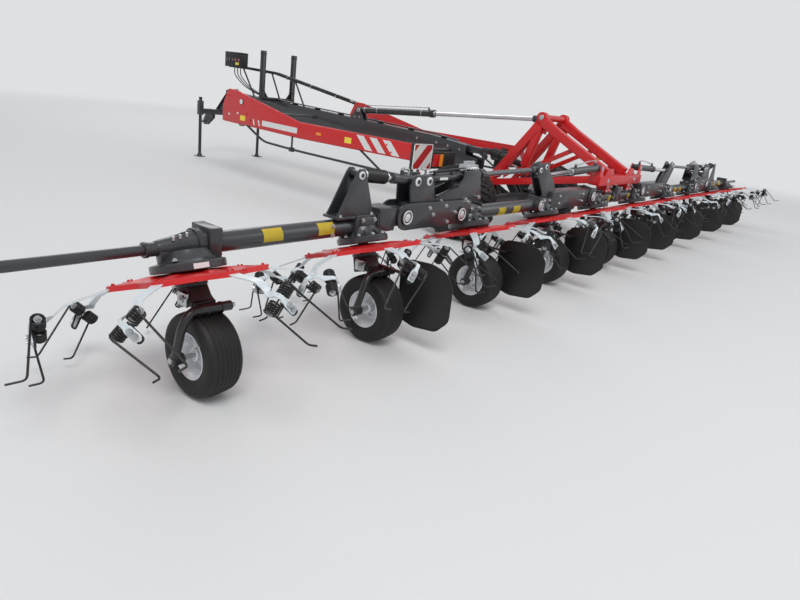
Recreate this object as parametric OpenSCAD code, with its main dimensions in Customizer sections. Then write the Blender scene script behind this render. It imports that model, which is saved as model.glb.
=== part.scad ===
// Trailed hay tedder: ten tined rotors in five folding sections, hung behind a
// drawbar that carries its own transport wheels.
// Lengths are millimetres and angles are degrees.
// +X is the right side, +Y is the way it is towed, +Z is up from the ground.
// Places are measured from the line of the rotor wheels, which is moved to the
// middle of the machine's length where the nodes are drawn.

/* [Rotors] */
// Distance from one rotor to the next
rotor_spacing = 1250; // [1240:5:1280]
// How far the rotor axes lean forward
rotor_tilt = 18.5; // [17:0.5:19]
// Distance along the axis from the wheel's centre up to the disc
disc_height = 392; // [385:1:400]
// Arms on each rotor
arm_count = 7; // [7:1:7]
// Turn of the first rotor's arms from +X
first_phase = 11.4; // [0:0.1:51]
// Radius of the disc at the tips of its star
disc_tip_r = 380; // [370:1:390]
// Radius of the disc between two tips
disc_valley_r = 315; // [300:1:330]
// Thickness of the disc's sheet
disc_sheet = 6; // [4:0.5:8]

/* [Tines] */
// Distance from the rotor's axis to the middle of the coils
coil_ring_r = 673; // [665:1:680]
// Depth of the middle of the coils below the disc
coil_drop = 137; // [130:1:145]
// Lean of the coils' axis above the tangent
coil_lean = 40; // [35:1:45]
// Outer radius of a coil
coil_r = 30; // [26:1:33]
// Length of one coil along its own axis
coil_len = 54; // [45:1:60]
// Radius of the tine wire
wire_r = 5; // [4:0.5:6]
// Width of the arm's strip
arm_w = 56; // [50:1:60]
// Thickness of the arm's strip
arm_t = 8; // [6:0.5:10]

/* [Rotor wheels] */
// Radius of a rotor wheel
wheel_r = 220; // [215:1:225]
// Width of a rotor wheel's tyre
wheel_w = 190; // [170:1:200]
// Radius of a rotor wheel's axle
axle_r = 15; // [12:1:20]
// Gap between a shaft and its bore
running_gap = 0.08; // [0.02:0.01:0.1]

/* [Beams] */
// Height of the beams' centre line
beam_z = 765; // [760:1:775]
// Radius of a beam tube
tube_r = 55; // [50:1:58]
// Distance from the middle to the inner hinges
inner_hinge_x = 800; // [795:1:805]
// Distance from the middle to the outer hinges
outer_hinge_x = 4000; // [3980:1:4020]
// Distance from the middle to the end of the guard tube
guard_end_x = 6600; // [6500:5:6650]
// Radius of the hinge pins
hinge_pin_r = 25; // [20:1:30]

/* [Lift tower] */
// Distance forward to the pivot that lifts the beams
lift_y = 1690; // [1680:1:1700]
// Height of the pivot that lifts the beams
lift_z = 600; // [595:1:605]
// Distance forward to the tower's top pin
apex_y = 1220; // [1210:1:1230]
// Height of the tower's top pin
apex_z = 1470; // [1460:1:1480]
// Distance from the middle to each side frame of the tower
tower_x = 290; // [280:1:300]
// Size of the tower's square tubes
tower_tube = 60; // [50:1:65]

/* [Chassis] */
// Distance forward to the transport axle
axle_y = 1550; // [1540:1:1560]
// Radius of a transport wheel
transport_r = 430; // [420:1:440]
// Width of a transport wheel's tyre
transport_w = 400; // [360:1:410]
// Distance from the middle to a transport wheel
transport_x = 1150; // [1140:1:1160]
// Width of the drawbar
drawbar_w = 180; // [160:1:200]
// Distance forward to the headstock's pivot
headstock_y = 7500; // [7490:1:7510]
// Distance from the middle to a side guard
side_guard_x = 1400; // [1390:1:1410]

/* [Hitch] */
// Radius of the lower link pins
link_pin_r = 14.35; // [14:0.05:18.5]
// Length of the lower link pins
link_pin_len = 60; // [50:1:80]
// Radius of the drive shaft's stub
stub_r = 17.45; // [17:0.05:22.5]

/* [Hidden] */
rotor_count = 10;
$fn = 48;

// The wheel line lies this far behind the middle of the machine's length
mid_y = 3570;

red_paint = [0.78, 0.05, 0.06];
grey_paint = [0.17, 0.18, 0.2];
galvanised = [0.75, 0.79, 0.82];
black_steel = [0.06, 0.06, 0.07];
tyre_rubber = [0.05, 0.05, 0.05];
chrome = [0.85, 0.86, 0.88];

arm_step = 360 / arm_count;
shaft_r = 32;
bore_r = shaft_r + running_gap;
// The beams lie where the rotor axes reach their height
beam_y = (beam_z - wheel_r) * tan(rotor_tilt);
function rotor_x(i) = (i - (rotor_count + 1) / 2) * rotor_spacing;
// Neighbours turn opposite ways, so their arms stand mirrored
function rotor_phase(i) = (i % 2 == 1) ? first_phase : -first_phase;

// A round bar from p to q
module bar(p, q, r) {
  v = q - p;
  len = norm(v);
  translate(p) rotate([0, acos(v.z / len), atan2(v.y, v.x)]) cylinder(r = r, h = len);
}

// A round bar through several points, with ball joints a little wider than the bar
joint_swell = 1.04;
module bent_bar(points, r) {
  for (i = [0:len(points) - 2]) bar(points[i], points[i + 1], r);
  for (i = [1:1:len(points) - 2]) translate(points[i]) sphere(r = r * joint_swell);
}

// A flat outline of [y, z] points that stands across X, t thick and centred on x
module yz_plate(x, t, outline) {
  translate([x - t / 2, 0, 0]) rotate([90, 0, 90]) linear_extrude(t) polygon(outline);
}

// A flat outline of [x, z] points that stands across Y, t thick and centred on y
module xz_plate(y, t, outline) {
  translate([0, y + t / 2, 0]) rotate([90, 0, 0]) linear_extrude(t) polygon(outline);
}

// A square tube in the YZ plane from [y, z] to [y, z]
module yz_beam(x, a, b, w, h) {
  d = b - a;
  translate([x, a.x, a.y]) rotate([atan2(d.y, d.x), 0, 0])
    translate([-w / 2, 0, -h / 2]) cube([w, norm(d), h]);
}

// A disc whose axis lies along Y
module y_disc(p, r, w) {
  translate(p) rotate([90, 0, 0]) cylinder(r = r, h = w, center = true);
}

// A disc whose axis lies along X
module x_disc(p, r, w) {
  translate(p) rotate([0, 90, 0]) cylinder(r = r, h = w, center = true);
}

// Right side pieces mirrored to the left
module on_left() mirror([1, 0, 0]) children();

// Moves a piece from the wheel's centre to the leaning axis of the rotor at x
module on_axis(x) translate([x, 0, wheel_r]) rotate([-rotor_tilt, 0, 0]) children();

/* Rotors */

// Star outline of the disc, with blunt tips under the arms
disc_tip_half = 26;
function turned(p, a) = [p.x * cos(a) - p.y * sin(a), p.x * sin(a) + p.y * cos(a)];
star = [for (k = [0:arm_count - 1])
  for (p = [[disc_tip_r, -disc_tip_half], [disc_tip_r, disc_tip_half],
            turned([disc_valley_r, 0], arm_step / 2)])
    turned(p, k * arm_step)];

dome_r = 215;
dome_h = 20;
hub_r = 80;
hub_low = -34;
ridge_half = 14;

module disc() {
  translate([0, 0, -disc_sheet]) linear_extrude(disc_sheet) polygon(star);
  cylinder(r1 = dome_r, r2 = hub_r + 30, h = dome_h - 4);
  translate([0, 0, hub_low]) cylinder(r = hub_r, h = dome_h - hub_low);
  for (k = [0:arm_count - 1])
    rotate([90, 0, k * arm_step])
      translate([0, 0, -ridge_half])
        linear_extrude(2 * ridge_half)
          polygon([[hub_r - 12, -1], [disc_tip_r - 12, -1], [disc_tip_r - 18, 3], [hub_r - 12, dome_h - 2]]);
}

// Side of the arm's strip as [radius, height] points along its upper face
arm_root_r = 245;
arm_bend_r = coil_ring_r - 138;
arm_bend_z = 85 - coil_drop;
arm_line = [[arm_root_r, 1 - disc_sheet], [disc_tip_r - 35, 1 - disc_sheet], [disc_tip_r + 20, -18], [arm_bend_r, arm_bend_z]];
arm_side = concat(arm_line, [for (i = [3:-1:0]) arm_line[i] - [0, arm_t]]);

// The frame of the coils: X outward, Y along their axis, -Z the way the legs point
module at_coils() translate([coil_ring_r, 0, -coil_drop]) rotate([coil_lean, 0, 0]) children();
function from_coils(p) = [coil_ring_r + p.x, p.y * cos(coil_lean) - p.z * sin(coil_lean),
                          p.y * sin(coil_lean) + p.z * cos(coil_lean) - coil_drop];

// The strip's outer part leans onto the coils, from the bend to their upper side
arm_twist = 28;
twist_from = [arm_bend_r - 12, 0, arm_bend_z - 2];
twist_to = from_coils([-6, 0, coil_r - 3]);

module arm() {
  rotate([90, 0, 0]) translate([0, 0, -arm_w / 2]) linear_extrude(arm_w) polygon(arm_side);
  v = twist_to - twist_from;
  translate(twist_from) rotate([0, acos(v.z / norm(v)), atan2(v.y, v.x)]) rotate([0, 0, arm_twist])
    translate([-arm_t / 2, -arm_w / 2, 0]) cube([arm_t, arm_w, norm(v)]);
}

clamp_half = 13;
// Legs as [start, knee, tip] in the frame of the coils: the long one and the short one
legs_of_tine = [
  [[16, clamp_half + coil_len - 8, 0], [90, 64, -287], [165, 56, -283]],
  [[10, -clamp_half - coil_len + 8, 0], [24, -46, -232], [82, -50, -230]]];

module tine() at_coils() {
  for (side = [-1, 1])
    translate([0, side * (clamp_half + coil_len / 2), 0])
      rotate([90, 0, 0]) cylinder(r = coil_r, h = coil_len, center = true);
  for (points = legs_of_tine) bent_bar(points, wire_r);
  // Clamp between the coils, with its tongue
  rotate([90, 0, 0]) cylinder(r = coil_r - 4, h = 2 * clamp_half + 2, center = true);
  translate([-23, -clamp_half + 2, -88]) cube([46, 2 * clamp_half - 4, 80]);
}

module rotor(i) {
  on_axis(rotor_x(i)) translate([0, 0, disc_height]) rotate([0, 0, rotor_phase(i)]) {
    difference() {
      color(red_paint) disc();
      translate([0, 0, hub_low - 1]) cylinder(r = bore_r, h = 100);
    }
    for (k = [0:arm_count - 1]) rotate([0, 0, k * arm_step])
      // The tines trail, so they lie the other way on a rotor that turns the other way
      mirror([0, i % 2 == 1 ? 0 : 1, 0]) {
        color(galvanised) arm();
        color(black_steel) tine();
      }
  }
}

/* Rotor wheels */

hub_half = 55;
rim_r = 112;

// Half outline of the tyre and rim as [radius, place along the axle] points
module wheel_body(r, w, rim, hub_rr, hub_h, bore, crown) {
  h = w / 2;
  rotate_extrude($fn = 96) polygon([
    [bore, -hub_h], [hub_rr, -hub_h], [hub_rr, -h * 0.25], [rim - 22, -h * 0.25],
    [rim - 14, -h * 0.72], [rim + 4, -h * 0.76], [rim + 8, -h * 0.82],
    [(r + rim) / 2, -h], [r - crown * 2.2, -h * 0.94], [r - crown, -h * 0.8],
    [r - crown * 0.35, -h * 0.5], [r, -h * 0.25], [r, h * 0.25],
    [r - crown * 0.35, h * 0.5], [r - crown, h * 0.8], [r - crown * 2.2, h * 0.94],
    [(r + rim) / 2, h], [rim + 8, h * 0.82], [rim + 4, h * 0.76], [rim - 14, h * 0.72],
    [rim - 22, -h * 0.1], [hub_rr, -h * 0.1], [hub_rr, hub_h], [bore, hub_h]]);
}

module rotor_wheel(i) {
  x = rotor_x(i);
  color(tyre_rubber)
    translate([x, 0, wheel_r]) rotate([0, x < 0 ? -90 : 90, 0])
      wheel_body(wheel_r, wheel_w, rim_r, 34, hub_half, axle_r, 16);
}

/* Legs of the rotor wheels */

block_top = -42;
block_low = -150;
block_w = 128;
arm_tube_r = 21;
arm_x = 150;
guard_x = 152;
guard_t = 6;

// Leg of the rotor at x, in right hand form: the arm is outside and the guard inside
module wheel_leg(x, guarded) {
  on_axis(x) {
    translate([0, 0, disc_height + block_low]) cylinder(r = shaft_r, h = -block_low + pan_low);
    translate([-block_w / 2, -block_w / 2, disc_height + block_low])
      cube([block_w, block_w, block_top - block_low]);
  }
  translate([x, 0, wheel_r]) {
    bent_bar([[-110, -30, 252], [70, -30, 258], [arm_x - 35, -34, 235], [arm_x, -26, 180],
              [arm_x + 6, 0, 0]], arm_tube_r);
    bar([-60 - 8, 0, 0], [arm_x + 10, 0, 0], axle_r - running_gap);
    // Saddle that holds the arm on the column
    translate([-block_w / 2 + 4, -52, 246]) cube([block_w - 8, 100, 70]);
    x_disc([arm_x - 18, 0, 0], 30, 40);
    x_disc([-66, 0, 0], 26, 14);
  }
  if (guarded) {
    yz_plate(x - guard_x, guard_t, wrap_guard);
    translate([x - guard_x, -210, wheel_r + 268]) cube([guard_x - block_w / 2 + 20, 60, 10]);
    translate([x - block_w / 2 - 10, -210, wheel_r + 268]) cube([40, 260, 10]);
  }
}

// The guard's outline follows the cone inside the turning arms
wrap_guard = [[-150, 560], [-90, 500], [-110, 165], [-240, 135], [-420, 160], [-505, 250],
              [-500, 470], [-440, 550], [-330, 575]];

/* Beams */

pan_low = 26;
house_half = 95;
house_h = 150;
flange_t = 12;
flange_size = 156;

// Gearbox over the rotor at x, with the pan over the disc and a flange each side
module gearbox(x) {
  on_axis(x) translate([0, 0, disc_height + pan_low]) {
    cylinder(r = 128, h = 34);
    translate([0, 0, 34]) cylinder(r1 = 128, r2 = 76, h = 62);
  }
  translate([x - house_half, beam_y - 68, beam_z - 62]) cube([2 * house_half, 136, 136]);
  for (s = [-1, 1])
    translate([x + s * house_half - (s > 0 ? 0 : flange_t), beam_y - flange_size / 2, beam_z - flange_size / 2 + 10])
      cube([flange_t, flange_size, flange_size]);
}

gearbox_edge = house_half + flange_t;

module beam_tube(a, b, r = tube_r) bar([a, beam_y, beam_z], [b, beam_y, beam_z], r);

fork_gap = 70;
fork_t = 18;
fork_half = 92;
lug_r = 60;
cap_r = 62;

// Fork of the hinge at x. It reaches from the gearbox side at x0.
module hinge_fork(x0, x) {
  s = sign(x - x0);
  difference() {
    union() {
      for (side = [-1, 1]) {
        y = beam_y + side * (fork_gap + fork_t / 2);
        translate([min(x0, x), y - fork_t / 2, beam_z - fork_half])
          cube([abs(x - x0), fork_t, 2 * fork_half]);
        y_disc([x, y, beam_z], fork_half, fork_t);
      }
    }
    y_disc([x, beam_y, beam_z], hinge_pin_r - 2, 400);
  }
  // Web that closes the fork beyond the lug's reach
  reach = lug_r + 8;
  translate([s > 0 ? x0 : x + reach, beam_y - fork_gap, beam_z - fork_half])
    cube([abs(x - x0) - reach, 2 * fork_gap, 2 * fork_half]);
  y_disc([x, beam_y, beam_z], hinge_pin_r, 2 * (fork_gap + fork_t) + 10);
  y_disc([x, beam_y - fork_gap - fork_t - 6, beam_z], cap_r, 12);
  y_disc([x, beam_y + fork_gap + fork_t + 6, beam_z], cap_r * 0.7, 12);
}

// Lug of the hinge at x. It reaches out to the gearbox side at x1.
module hinge_lug(x, x1, h) {
  w = fork_gap - running_gap;
  difference() {
    union() {
      y_disc([x, beam_y, beam_z], lug_r, 2 * w);
      translate([x + 4, beam_y - w + 1, beam_z - lug_r + 1]) cube([fork_half + 12, 2 * w - 2, 2 * lug_r - 2]);
      translate([x + fork_half + 14, beam_y - w - 8, beam_z - h / 2])
        cube([x1 - x - fork_half - 14, 2 * w + 16, h]);
    }
    y_disc([x, beam_y, beam_z], hinge_pin_r + running_gap, 400);
  }
}

module beam_centre() {
  color(grey_paint) {
    for (s = [-1, 1]) {
      gearbox(s * rotor_spacing / 2);
      if (s > 0) hinge_fork(rotor_spacing / 2 + house_half, inner_hinge_x);
      else on_left() hinge_fork(rotor_spacing / 2 + house_half, inner_hinge_x);
    }
    beam_tube(-rotor_spacing / 2 + gearbox_edge, rotor_spacing / 2 - gearbox_edge);
    // Input gearbox with the flange that the drive shaft turns
    translate([-85, beam_y - 70, beam_z - 95]) cube([170, 200, 175]);
    bar([0, beam_y + 120, input.y], [0, input.x - 10, input.y + 2], 30);
  }
}

// Standing plates over the outer hinge, which hold the strut's inner pin
strut_y = beam_y;
strut_base = [3900, 1000];
strut_eye = [4450, 1050];
wing_base = [620, 1050];
wing_eye = [1950, 1080];

module beam_inner() {
  near = 1.5 * rotor_spacing;
  far = 2.5 * rotor_spacing;
  color(grey_paint) {
    hinge_lug(inner_hinge_x, near - gearbox_edge, 168);
    gearbox(near);
    beam_tube(near + gearbox_edge, far - gearbox_edge);
    gearbox(far);
    hinge_fork(far + house_half, outer_hinge_x);
    // Ring covers beside the gearboxes
    y_disc([near + 130, beam_y - 74, beam_z], cap_r, 20);
    y_disc([far + 210, beam_y - fork_gap - fork_t - 4, beam_z], cap_r, 12);
    // Twin plates that carry the wing cylinder's eye
    for (s = [-1, 1])
      xz_plate(strut_y + s * 38, 10,
        [[near - 180, beam_z + 40], [near + 110, beam_z + 40], [near + 205, wing_eye.y - 50],
         [near + 200, wing_eye.y - 4], [near + 110, wing_eye.y + 34], [near + 20, wing_eye.y + 34]]);
    // Tall plates over the outer hinge
    for (s = [-1, 1])
      xz_plate(strut_y + s * 52, 12,
        [[far + gearbox_edge, beam_z + 60], [outer_hinge_x - 60, beam_z + 60],
         [strut_base.x + 45, strut_base.y - 20], [strut_base.x + 30, strut_base.y + 38],
         [strut_base.x - 170, strut_base.y + 30], [far + 420, beam_z + 190],
         [far + 190, beam_z + 240], [far + gearbox_edge, beam_z + 200]]);
    // Long cylinder that lies over the section
    y_disc([strut_base.x - 130, strut_y, strut_base.y], 30, 92);
    bar([strut_base.x - 130, strut_y, strut_base.y], [far + 60, strut_y, 1046], 34);
    bar([far + 60, strut_y, 1046], [near + 175, strut_y, wing_eye.y - 28], 24);
    y_disc([near + 175, strut_y, wing_eye.y - 28], 30, 70);
  }
}

module beam_outer() {
  near = 3.5 * rotor_spacing;
  far = 4.5 * rotor_spacing;
  color(grey_paint) {
    hinge_lug(outer_hinge_x, near - gearbox_edge, 150);
    gearbox(near);
    beam_tube(near + gearbox_edge, far - gearbox_edge);
    gearbox(far);
    // Twin leaning plates that carry the strut's eye
    for (s = [-1, 1])
      xz_plate(strut_y + s * 42, 10,
        [[near - 60, beam_z + 60], [near + 260, beam_z + 50], [strut_eye.x + 40, strut_eye.y + 20],
         [strut_eye.x - 12, strut_eye.y + 34], [strut_eye.x - 40, strut_eye.y + 10]]);
    translate([near - 50, strut_y - 48, beam_z + 50]) cube([300, 96, 40]);
    beam_tube(far + gearbox_edge, far + 330, 34);
    beam_tube(far + 330, guard_end_x, 25);
  }
}

/* Centre frame and tower */

cross_half_x = 660;
cross_low = 868;
cross_high = 968;

module cross_box() translate([-cross_half_x, beam_y - 75, cross_low])
  cube([2 * cross_half_x, 130, cross_high - cross_low]);

module centre_frame() {
  color(red_paint) {
    // Cross box over the beam, on two feet
    cross_box();
    for (s = [-1, 1]) {
      difference() {
        translate([s * 330 - 70, beam_y - 65, beam_z + 20]) cube([140, 120, cross_low - beam_z - 18]);
        beam_tube(-600, 600);
      }
      // Brackets that hold the wing cylinders
      for (t = [-1, 1])
        xz_plate(beam_y + t * 52, 12,
          [[s * (wing_base.x - 80), cross_high - 30], [s * (wing_base.x + 30), cross_high - 30],
           [s * (wing_base.x + 42), wing_base.y], [s * (wing_base.x + 20), wing_base.y + 42],
           [s * (wing_base.x - 20), wing_base.y + 42]]);
    }
  }
}

eye_r = 52;
lift_pin_r = 25;

module lift_tower() {
  rear = [beam_y + 10, cross_high - 10];
  front = [lift_y, lift_z];
  top = [apex_y - 110, apex_z + 20];
  color(red_paint) {
    difference() {
      union() {
        for (s = [-1, 1]) {
          x = s * tower_x;
          yz_beam(x, rear, top, tower_tube - 4, tower_tube);
          yz_beam(x, [beam_y + 20, cross_low + 48], [lift_y - 40, lift_z + 25], tower_tube - 2, 80);
          yz_beam(x, top, front, tower_tube, tower_tube);
          yz_beam(x, top + [0, -20], [apex_y + 30, lift_z + 230], tower_tube - 8, tower_tube - 8);
          yz_beam(x, [640, 1180], [apex_y + 10, lift_z + 240], tower_tube * 0.8, tower_tube * 0.8);
          x_disc([x, front.x, front.y], eye_r, tower_tube + 6);
          x_disc([x, top.x, top.y], 62, tower_tube + 16);
        }
      }
      x_disc([0, lift_y, lift_z], lift_pin_r + running_gap, 2000);
      cross_box();
    }
    // Cross tube at the top with the two lugs of the main cylinder
    bar([-tower_x, top.x, top.y], [tower_x, top.x, top.y], 38);
    for (s = [-1, 1])
      yz_plate(s * 57, 20, [[top.x, top.y - 34], [apex_y, apex_z - 40], [apex_y + 42, apex_z - 20],
                            [apex_y + 42, apex_z + 20], [apex_y, apex_z + 42], [top.x, top.y + 36]]);
  }
}

/* Cylinders */

// Barrel from base towards eye in the XZ plane
module xz_barrel(base, eye, length, r, w) {
  u = (eye - base) / norm(eye - base);
  far = base + u * length;
  bar([base.x, strut_y, base.y], [far.x, strut_y, far.y], r);
  y_disc([base.x, strut_y, base.y], r * 0.95, w);
}

// Rod of that cylinder, out of the barrel's mouth to the eye
module xz_rod(base, eye, length, r, w) {
  u = (eye - base) / norm(eye - base);
  near = base + u * (length + 4);
  bar([near.x, strut_y, near.y], [eye.x, strut_y, eye.y], r);
  y_disc([eye.x, strut_y, eye.y], r * 1.5, w);
}

wing_barrel_len = 660;
strut_barrel_len = 200;

module wing_barrel() color(grey_paint) {
  difference() {
    xz_barrel(wing_base, wing_eye, wing_barrel_len, 38, 92 - 2 * running_gap);
    xz_rod(wing_base, wing_eye, 40, 22 + running_gap, 1);
  }
}
module wing_rod() color(chrome)
  xz_rod(wing_base, wing_eye, wing_barrel_len - 100, 22, 66 - 2 * running_gap);

module strut_barrel() color(grey_paint) {
  difference() {
    xz_barrel(strut_base, strut_eye, strut_barrel_len, 34, 92 - 2 * running_gap);
    xz_rod(strut_base, strut_eye, 30, 16 + running_gap, 1);
  }
}
module strut_rod() color(black_steel) {
  xz_rod(strut_base, strut_eye, 60, 16, 74 - 2 * running_gap);
  u = (strut_eye - strut_base) / norm(strut_eye - strut_base);
  a = strut_base + u * (strut_barrel_len + 60);
  b = strut_base + u * (strut_barrel_len + 290);
  bar([a.x, strut_y, a.y], [b.x, strut_y, b.y], 42);
}

main_base = [4340, 1230];
main_eye = [apex_y, apex_z];
main_barrel_len = 1420;
main_rod_r = 30;
main_u = (main_eye - main_base) / norm(main_eye - main_base);
function main_at(d) = [0, main_base.x + main_u.x * d, main_base.y + main_u.y * d];

module main_barrel() color(black_steel) {
  difference() {
    union() {
      bar(main_at(0), main_at(100), 34);
      bar(main_at(84), main_at(main_barrel_len), 46);
      bar(main_at(main_barrel_len - 70), main_at(main_barrel_len), 52);
      x_disc(main_at(0), 44, 78 - 2 * running_gap);
    }
    bar(main_at(80), main_at(main_barrel_len + 10), main_rod_r + running_gap);
    x_disc(main_at(0), 20 + running_gap, 100);
  }
}
module main_rod() color(chrome) {
  len = norm(main_eye - main_base);
  bar(main_at(main_barrel_len - 20), main_at(len - 20), main_rod_r);
  bar(main_at(len - 150), main_at(len - 20), 40);
  x_disc(main_at(len), 38, 94 - 2 * running_gap);
}

/* Drive shaft */

joint = [1930, 970];
input = [415, 700];
shaft_len = 775;
shaft_u = (input - joint) / norm(input - joint);
function shaft_at(d) = [0, joint.x + shaft_u.x * d, joint.y + shaft_u.y * d];

module drive_shaft() color(black_steel) {
  difference() {
    union() {
      bar(shaft_at(70), shaft_at(shaft_len), 40);
      bar(shaft_at(55), shaft_at(180), 62);
      yz_beam(0, joint, joint + shaft_u * 80, 50, 50);
      x_disc([0, joint.x, joint.y], 30, 56 - 2 * running_gap);
    }
    bar(shaft_at(145), shaft_at(900), 29 + running_gap);
  }
}
module drive_tube() color(black_steel) {
  len = norm(input - joint);
  bar(shaft_at(shaft_len - 15), shaft_at(len - 60), 29);
  bar(shaft_at(len - 150), shaft_at(len - 8), 58);
}

/* Chassis */

half_w = drawbar_w / 2;
drawbar_wall = 8;
// Top and bottom edges of the drawbar's box as [y, z] points, from the rear
box_top = [[2300, 1000], [2600, 1030], [2950, 1056], [6000, 1150], [7380, 1190]];
box_low = [[2300, 660], [2600, 690], [3000, 780], [6000, 900], [7380, 985]];
function reversed(list) = [for (i = [len(list) - 1:-1:0]) list[i]];
// The hollow inside the box is open at its rear end
hollow_top = [for (i = [0:4]) box_top[i] + [i == 0 ? -20 : i == 4 ? -drawbar_wall : 0, -drawbar_wall]];
hollow_low = [for (i = [0:4]) box_low[i] + [i == 0 ? -20 : i == 4 ? -drawbar_wall : 0, drawbar_wall]];
side_plate = [[1600, 375], [1600, 490], [1640, 502], [2050, 700], [2050, 850], [2250, 880],
              [2250, 1000], [2600, 1030], [3300, 1070], [3300, 800], [2600, 640], [1800, 370]];

module drawbar_solid() yz_plate(0, drawbar_w, concat(box_top, reversed(box_low)));

module drawbar() {
  color(grey_paint) {
    difference() {
      drawbar_solid();
      yz_plate(0, drawbar_w - 2 * drawbar_wall, concat(hollow_top, reversed(hollow_low)));
    }
    for (s = [-1, 1]) yz_plate(s * (half_w + 7), 14, side_plate);
    // Bearing block of the drive shaft's joint
    translate([-45, 2020, 915]) cube([90, 300, 80]);
    for (s = [-1, 1]) translate([s * 36 - 8, joint.x - 34, joint.y - 34]) cube([16, 130, 68]);
    // Bracket of the main cylinder, with its pin
    for (s = [-1, 1])
      yz_plate(s * 48, 18, [[main_base.x - 120, 1060], [main_base.x + 190, 1060],
                            [main_base.x + 50, main_base.y + 30], [main_base.x, main_base.y + 50],
                            [main_base.x - 45, main_base.y + 20]]);
    x_disc([0, main_base.x, main_base.y], 20, 130);
    // Boss of the headstock's pivot
    difference() {
      union() {
        translate([0, headstock_y, 978 + running_gap]) cylinder(r = 70, h = 214 - 2 * running_gap);
        translate([-half_w, headstock_y - 130, 985]) cube([drawbar_w, 50, 200]);
        translate([-60, headstock_y - 100, 985]) cube([120, 100, 200]);
      }
      translate([0, headstock_y, 900]) cylinder(r = 30 + running_gap, h = 400);
    }
    // Outriggers of the side guards
    for (y = [2500, 5250]) outrigger(y);
  }
}

module outrigger(y) {
  z = y < 3000 ? 900 : 1010;
  bar([-side_guard_x + 12, y, z], [side_guard_x - 12, y, z], 25);
}

axle_z = transport_r;
module axle() {
  color(grey_paint) {
    translate([-920, axle_y - 50, axle_z - 50]) cube([1840, 100, 100]);
    for (s = [-1, 1]) {
      bar([s * 900, axle_y, axle_z], [s * (transport_x + 140), axle_y, axle_z], 30 - running_gap);
      // Lugs and pin of the lifting pivot
      for (t = [-1, 1])
        yz_plate(s * tower_x + t * (tower_tube / 2 + 14), 16,
          [[axle_y - 50, axle_z + 20], [axle_y + 50, axle_z - 40], [lift_y + 55, lift_z - 30],
           [lift_y + 45, lift_z + 45], [lift_y - 45, lift_z + 45]]);
      x_disc([s * tower_x, lift_y, lift_z], lift_pin_r, tower_tube + 60);
    }
  }
}

module transport_wheel() color(tyre_rubber)
  translate([transport_x, axle_y, axle_z]) rotate([0, 90, 0])
    wheel_body(transport_r, transport_w, 215, 70, 95, 30, 34);

guard_outline = [[2150, 820], [4150, 800], [5900, 830], [5900, 1060], [5780, 1290], [5600, 1285],
                 [4150, 1000], [2150, 1000]];
module side_guard() {
  color(red_paint) yz_plate(side_guard_x, 24, guard_outline);
  color(grey_paint) {
    // Rear post and the rail below the guard
    bar([side_guard_x, 2130, 560], [side_guard_x, 2130, 1010], 28);
    bent_bar([[side_guard_x, 2130, 610], [side_guard_x, 4150, 620], [side_guard_x, 4900, 640],
              [side_guard_x, 5300, 820]], 17);
    bar([side_guard_x, 2600, 612], [side_guard_x, 3000, 822], 14);
  }
}

module light_board() {
  x = side_guard_x - 230;
  color(grey_paint) {
    translate([x - 205, 2090, 700]) cube([410, 20, 400]);
    difference() {
      bar([x, 2100, 900], [x, 2500, 900], 20);
      outrigger(2500);
    }
    translate([x - 40, 2110, 860]) cube([80, 60, 80]);
    // Lamp housing beside the board, with its lenses
    translate([x - 615, 2106, 715]) cube([400, 70, 215]);
    bar([x - 400, 2141, 900], [x, 2141, 900], 15);
    for (d = [[30, 110, 130], [160, 90, 100], [270, 100, 130]])
      translate([x - 615 + d[0], 2094, 745]) cube([d[1], 20, d[2]]);
  }
}

module rest_posts() color(black_steel) {
  for (s = [-1, 1]) {
    translate([s * 330 - 35, 6315, 1180]) cube([70, 70, 750]);
  }
  difference() {
    translate([-365, 6310, 1146]) cube([730, 80, 60]);
    drawbar_solid();
  }
}

guide_line = [[4500, 1316], [6400, 1600], [7500, 1640]];
module guide_bar() {
  for (i = [0, 1]) yz_beam(0, guide_line[i], guide_line[i + 1], 34 - 2 * i, 34);
}
module hose_guide() color(grey_paint) {
  guide_bar();
  for (a = [[7330, 6900], [6520, 6210], [5900, 5600]])
    difference() {
      bar([0, a.x, lookup(a.x, guide_line)], [0, a.y, 1080], 14);
      drawbar_solid();
    }
}

// Box for couplings, on a shelf beside the guide
module coupling_box() color(black_steel) {
  difference() {
    translate([-400, 6962, 1612]) cube([395, 229, 14]);
    guide_bar();
  }
  translate([-395, 6850, 1622]) cube([130, 470, 238]);
}

module headstock() {
  color(grey_paint) {
    // Pivot pin between two plates
    translate([0, headstock_y, 940]) cylinder(r = 30, h = 300);
    for (z = [958, 1192]) {
      translate([0, headstock_y, z]) cylinder(r = 76, h = 20);
      translate([-76, headstock_y, z]) cube([152, 190, 20]);
    }
    translate([-90, headstock_y + 110, 760]) cube([180, 90, 452]);
    translate([-612, headstock_y + 110, 760]) cube([1224, 90, 90]);
    for (s = [-1, 1]) {
      for (t = [0, 1])
        yz_plate(s * (400 + t * 44 - 22), 16,
          [[headstock_y + 110, 850], [headstock_y + 110, 700], [headstock_y + 300, 560],
           [headstock_y + 390, 560], [headstock_y + 400, 640], [headstock_y + 260, 850]]);
      bar([s * 414, headstock_y + 345, 610], [s * (430 + link_pin_len), headstock_y + 345, 610], link_pin_r);
      // Sleeves that the stands slide in
      difference() {
        translate([s * 650 - 40, headstock_y + 115, 740]) cube([80, 80, 240]);
        translate([s * 650, headstock_y + 155, 700]) cylinder(r = 27, h = 400);
      }
    }
    translate([-75, headstock_y + 150, 800]) cube([150, 150, 150]);
    bar([0, headstock_y + 290, 875], [0, headstock_y + 380, 875], stub_r);
  }
}

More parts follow.
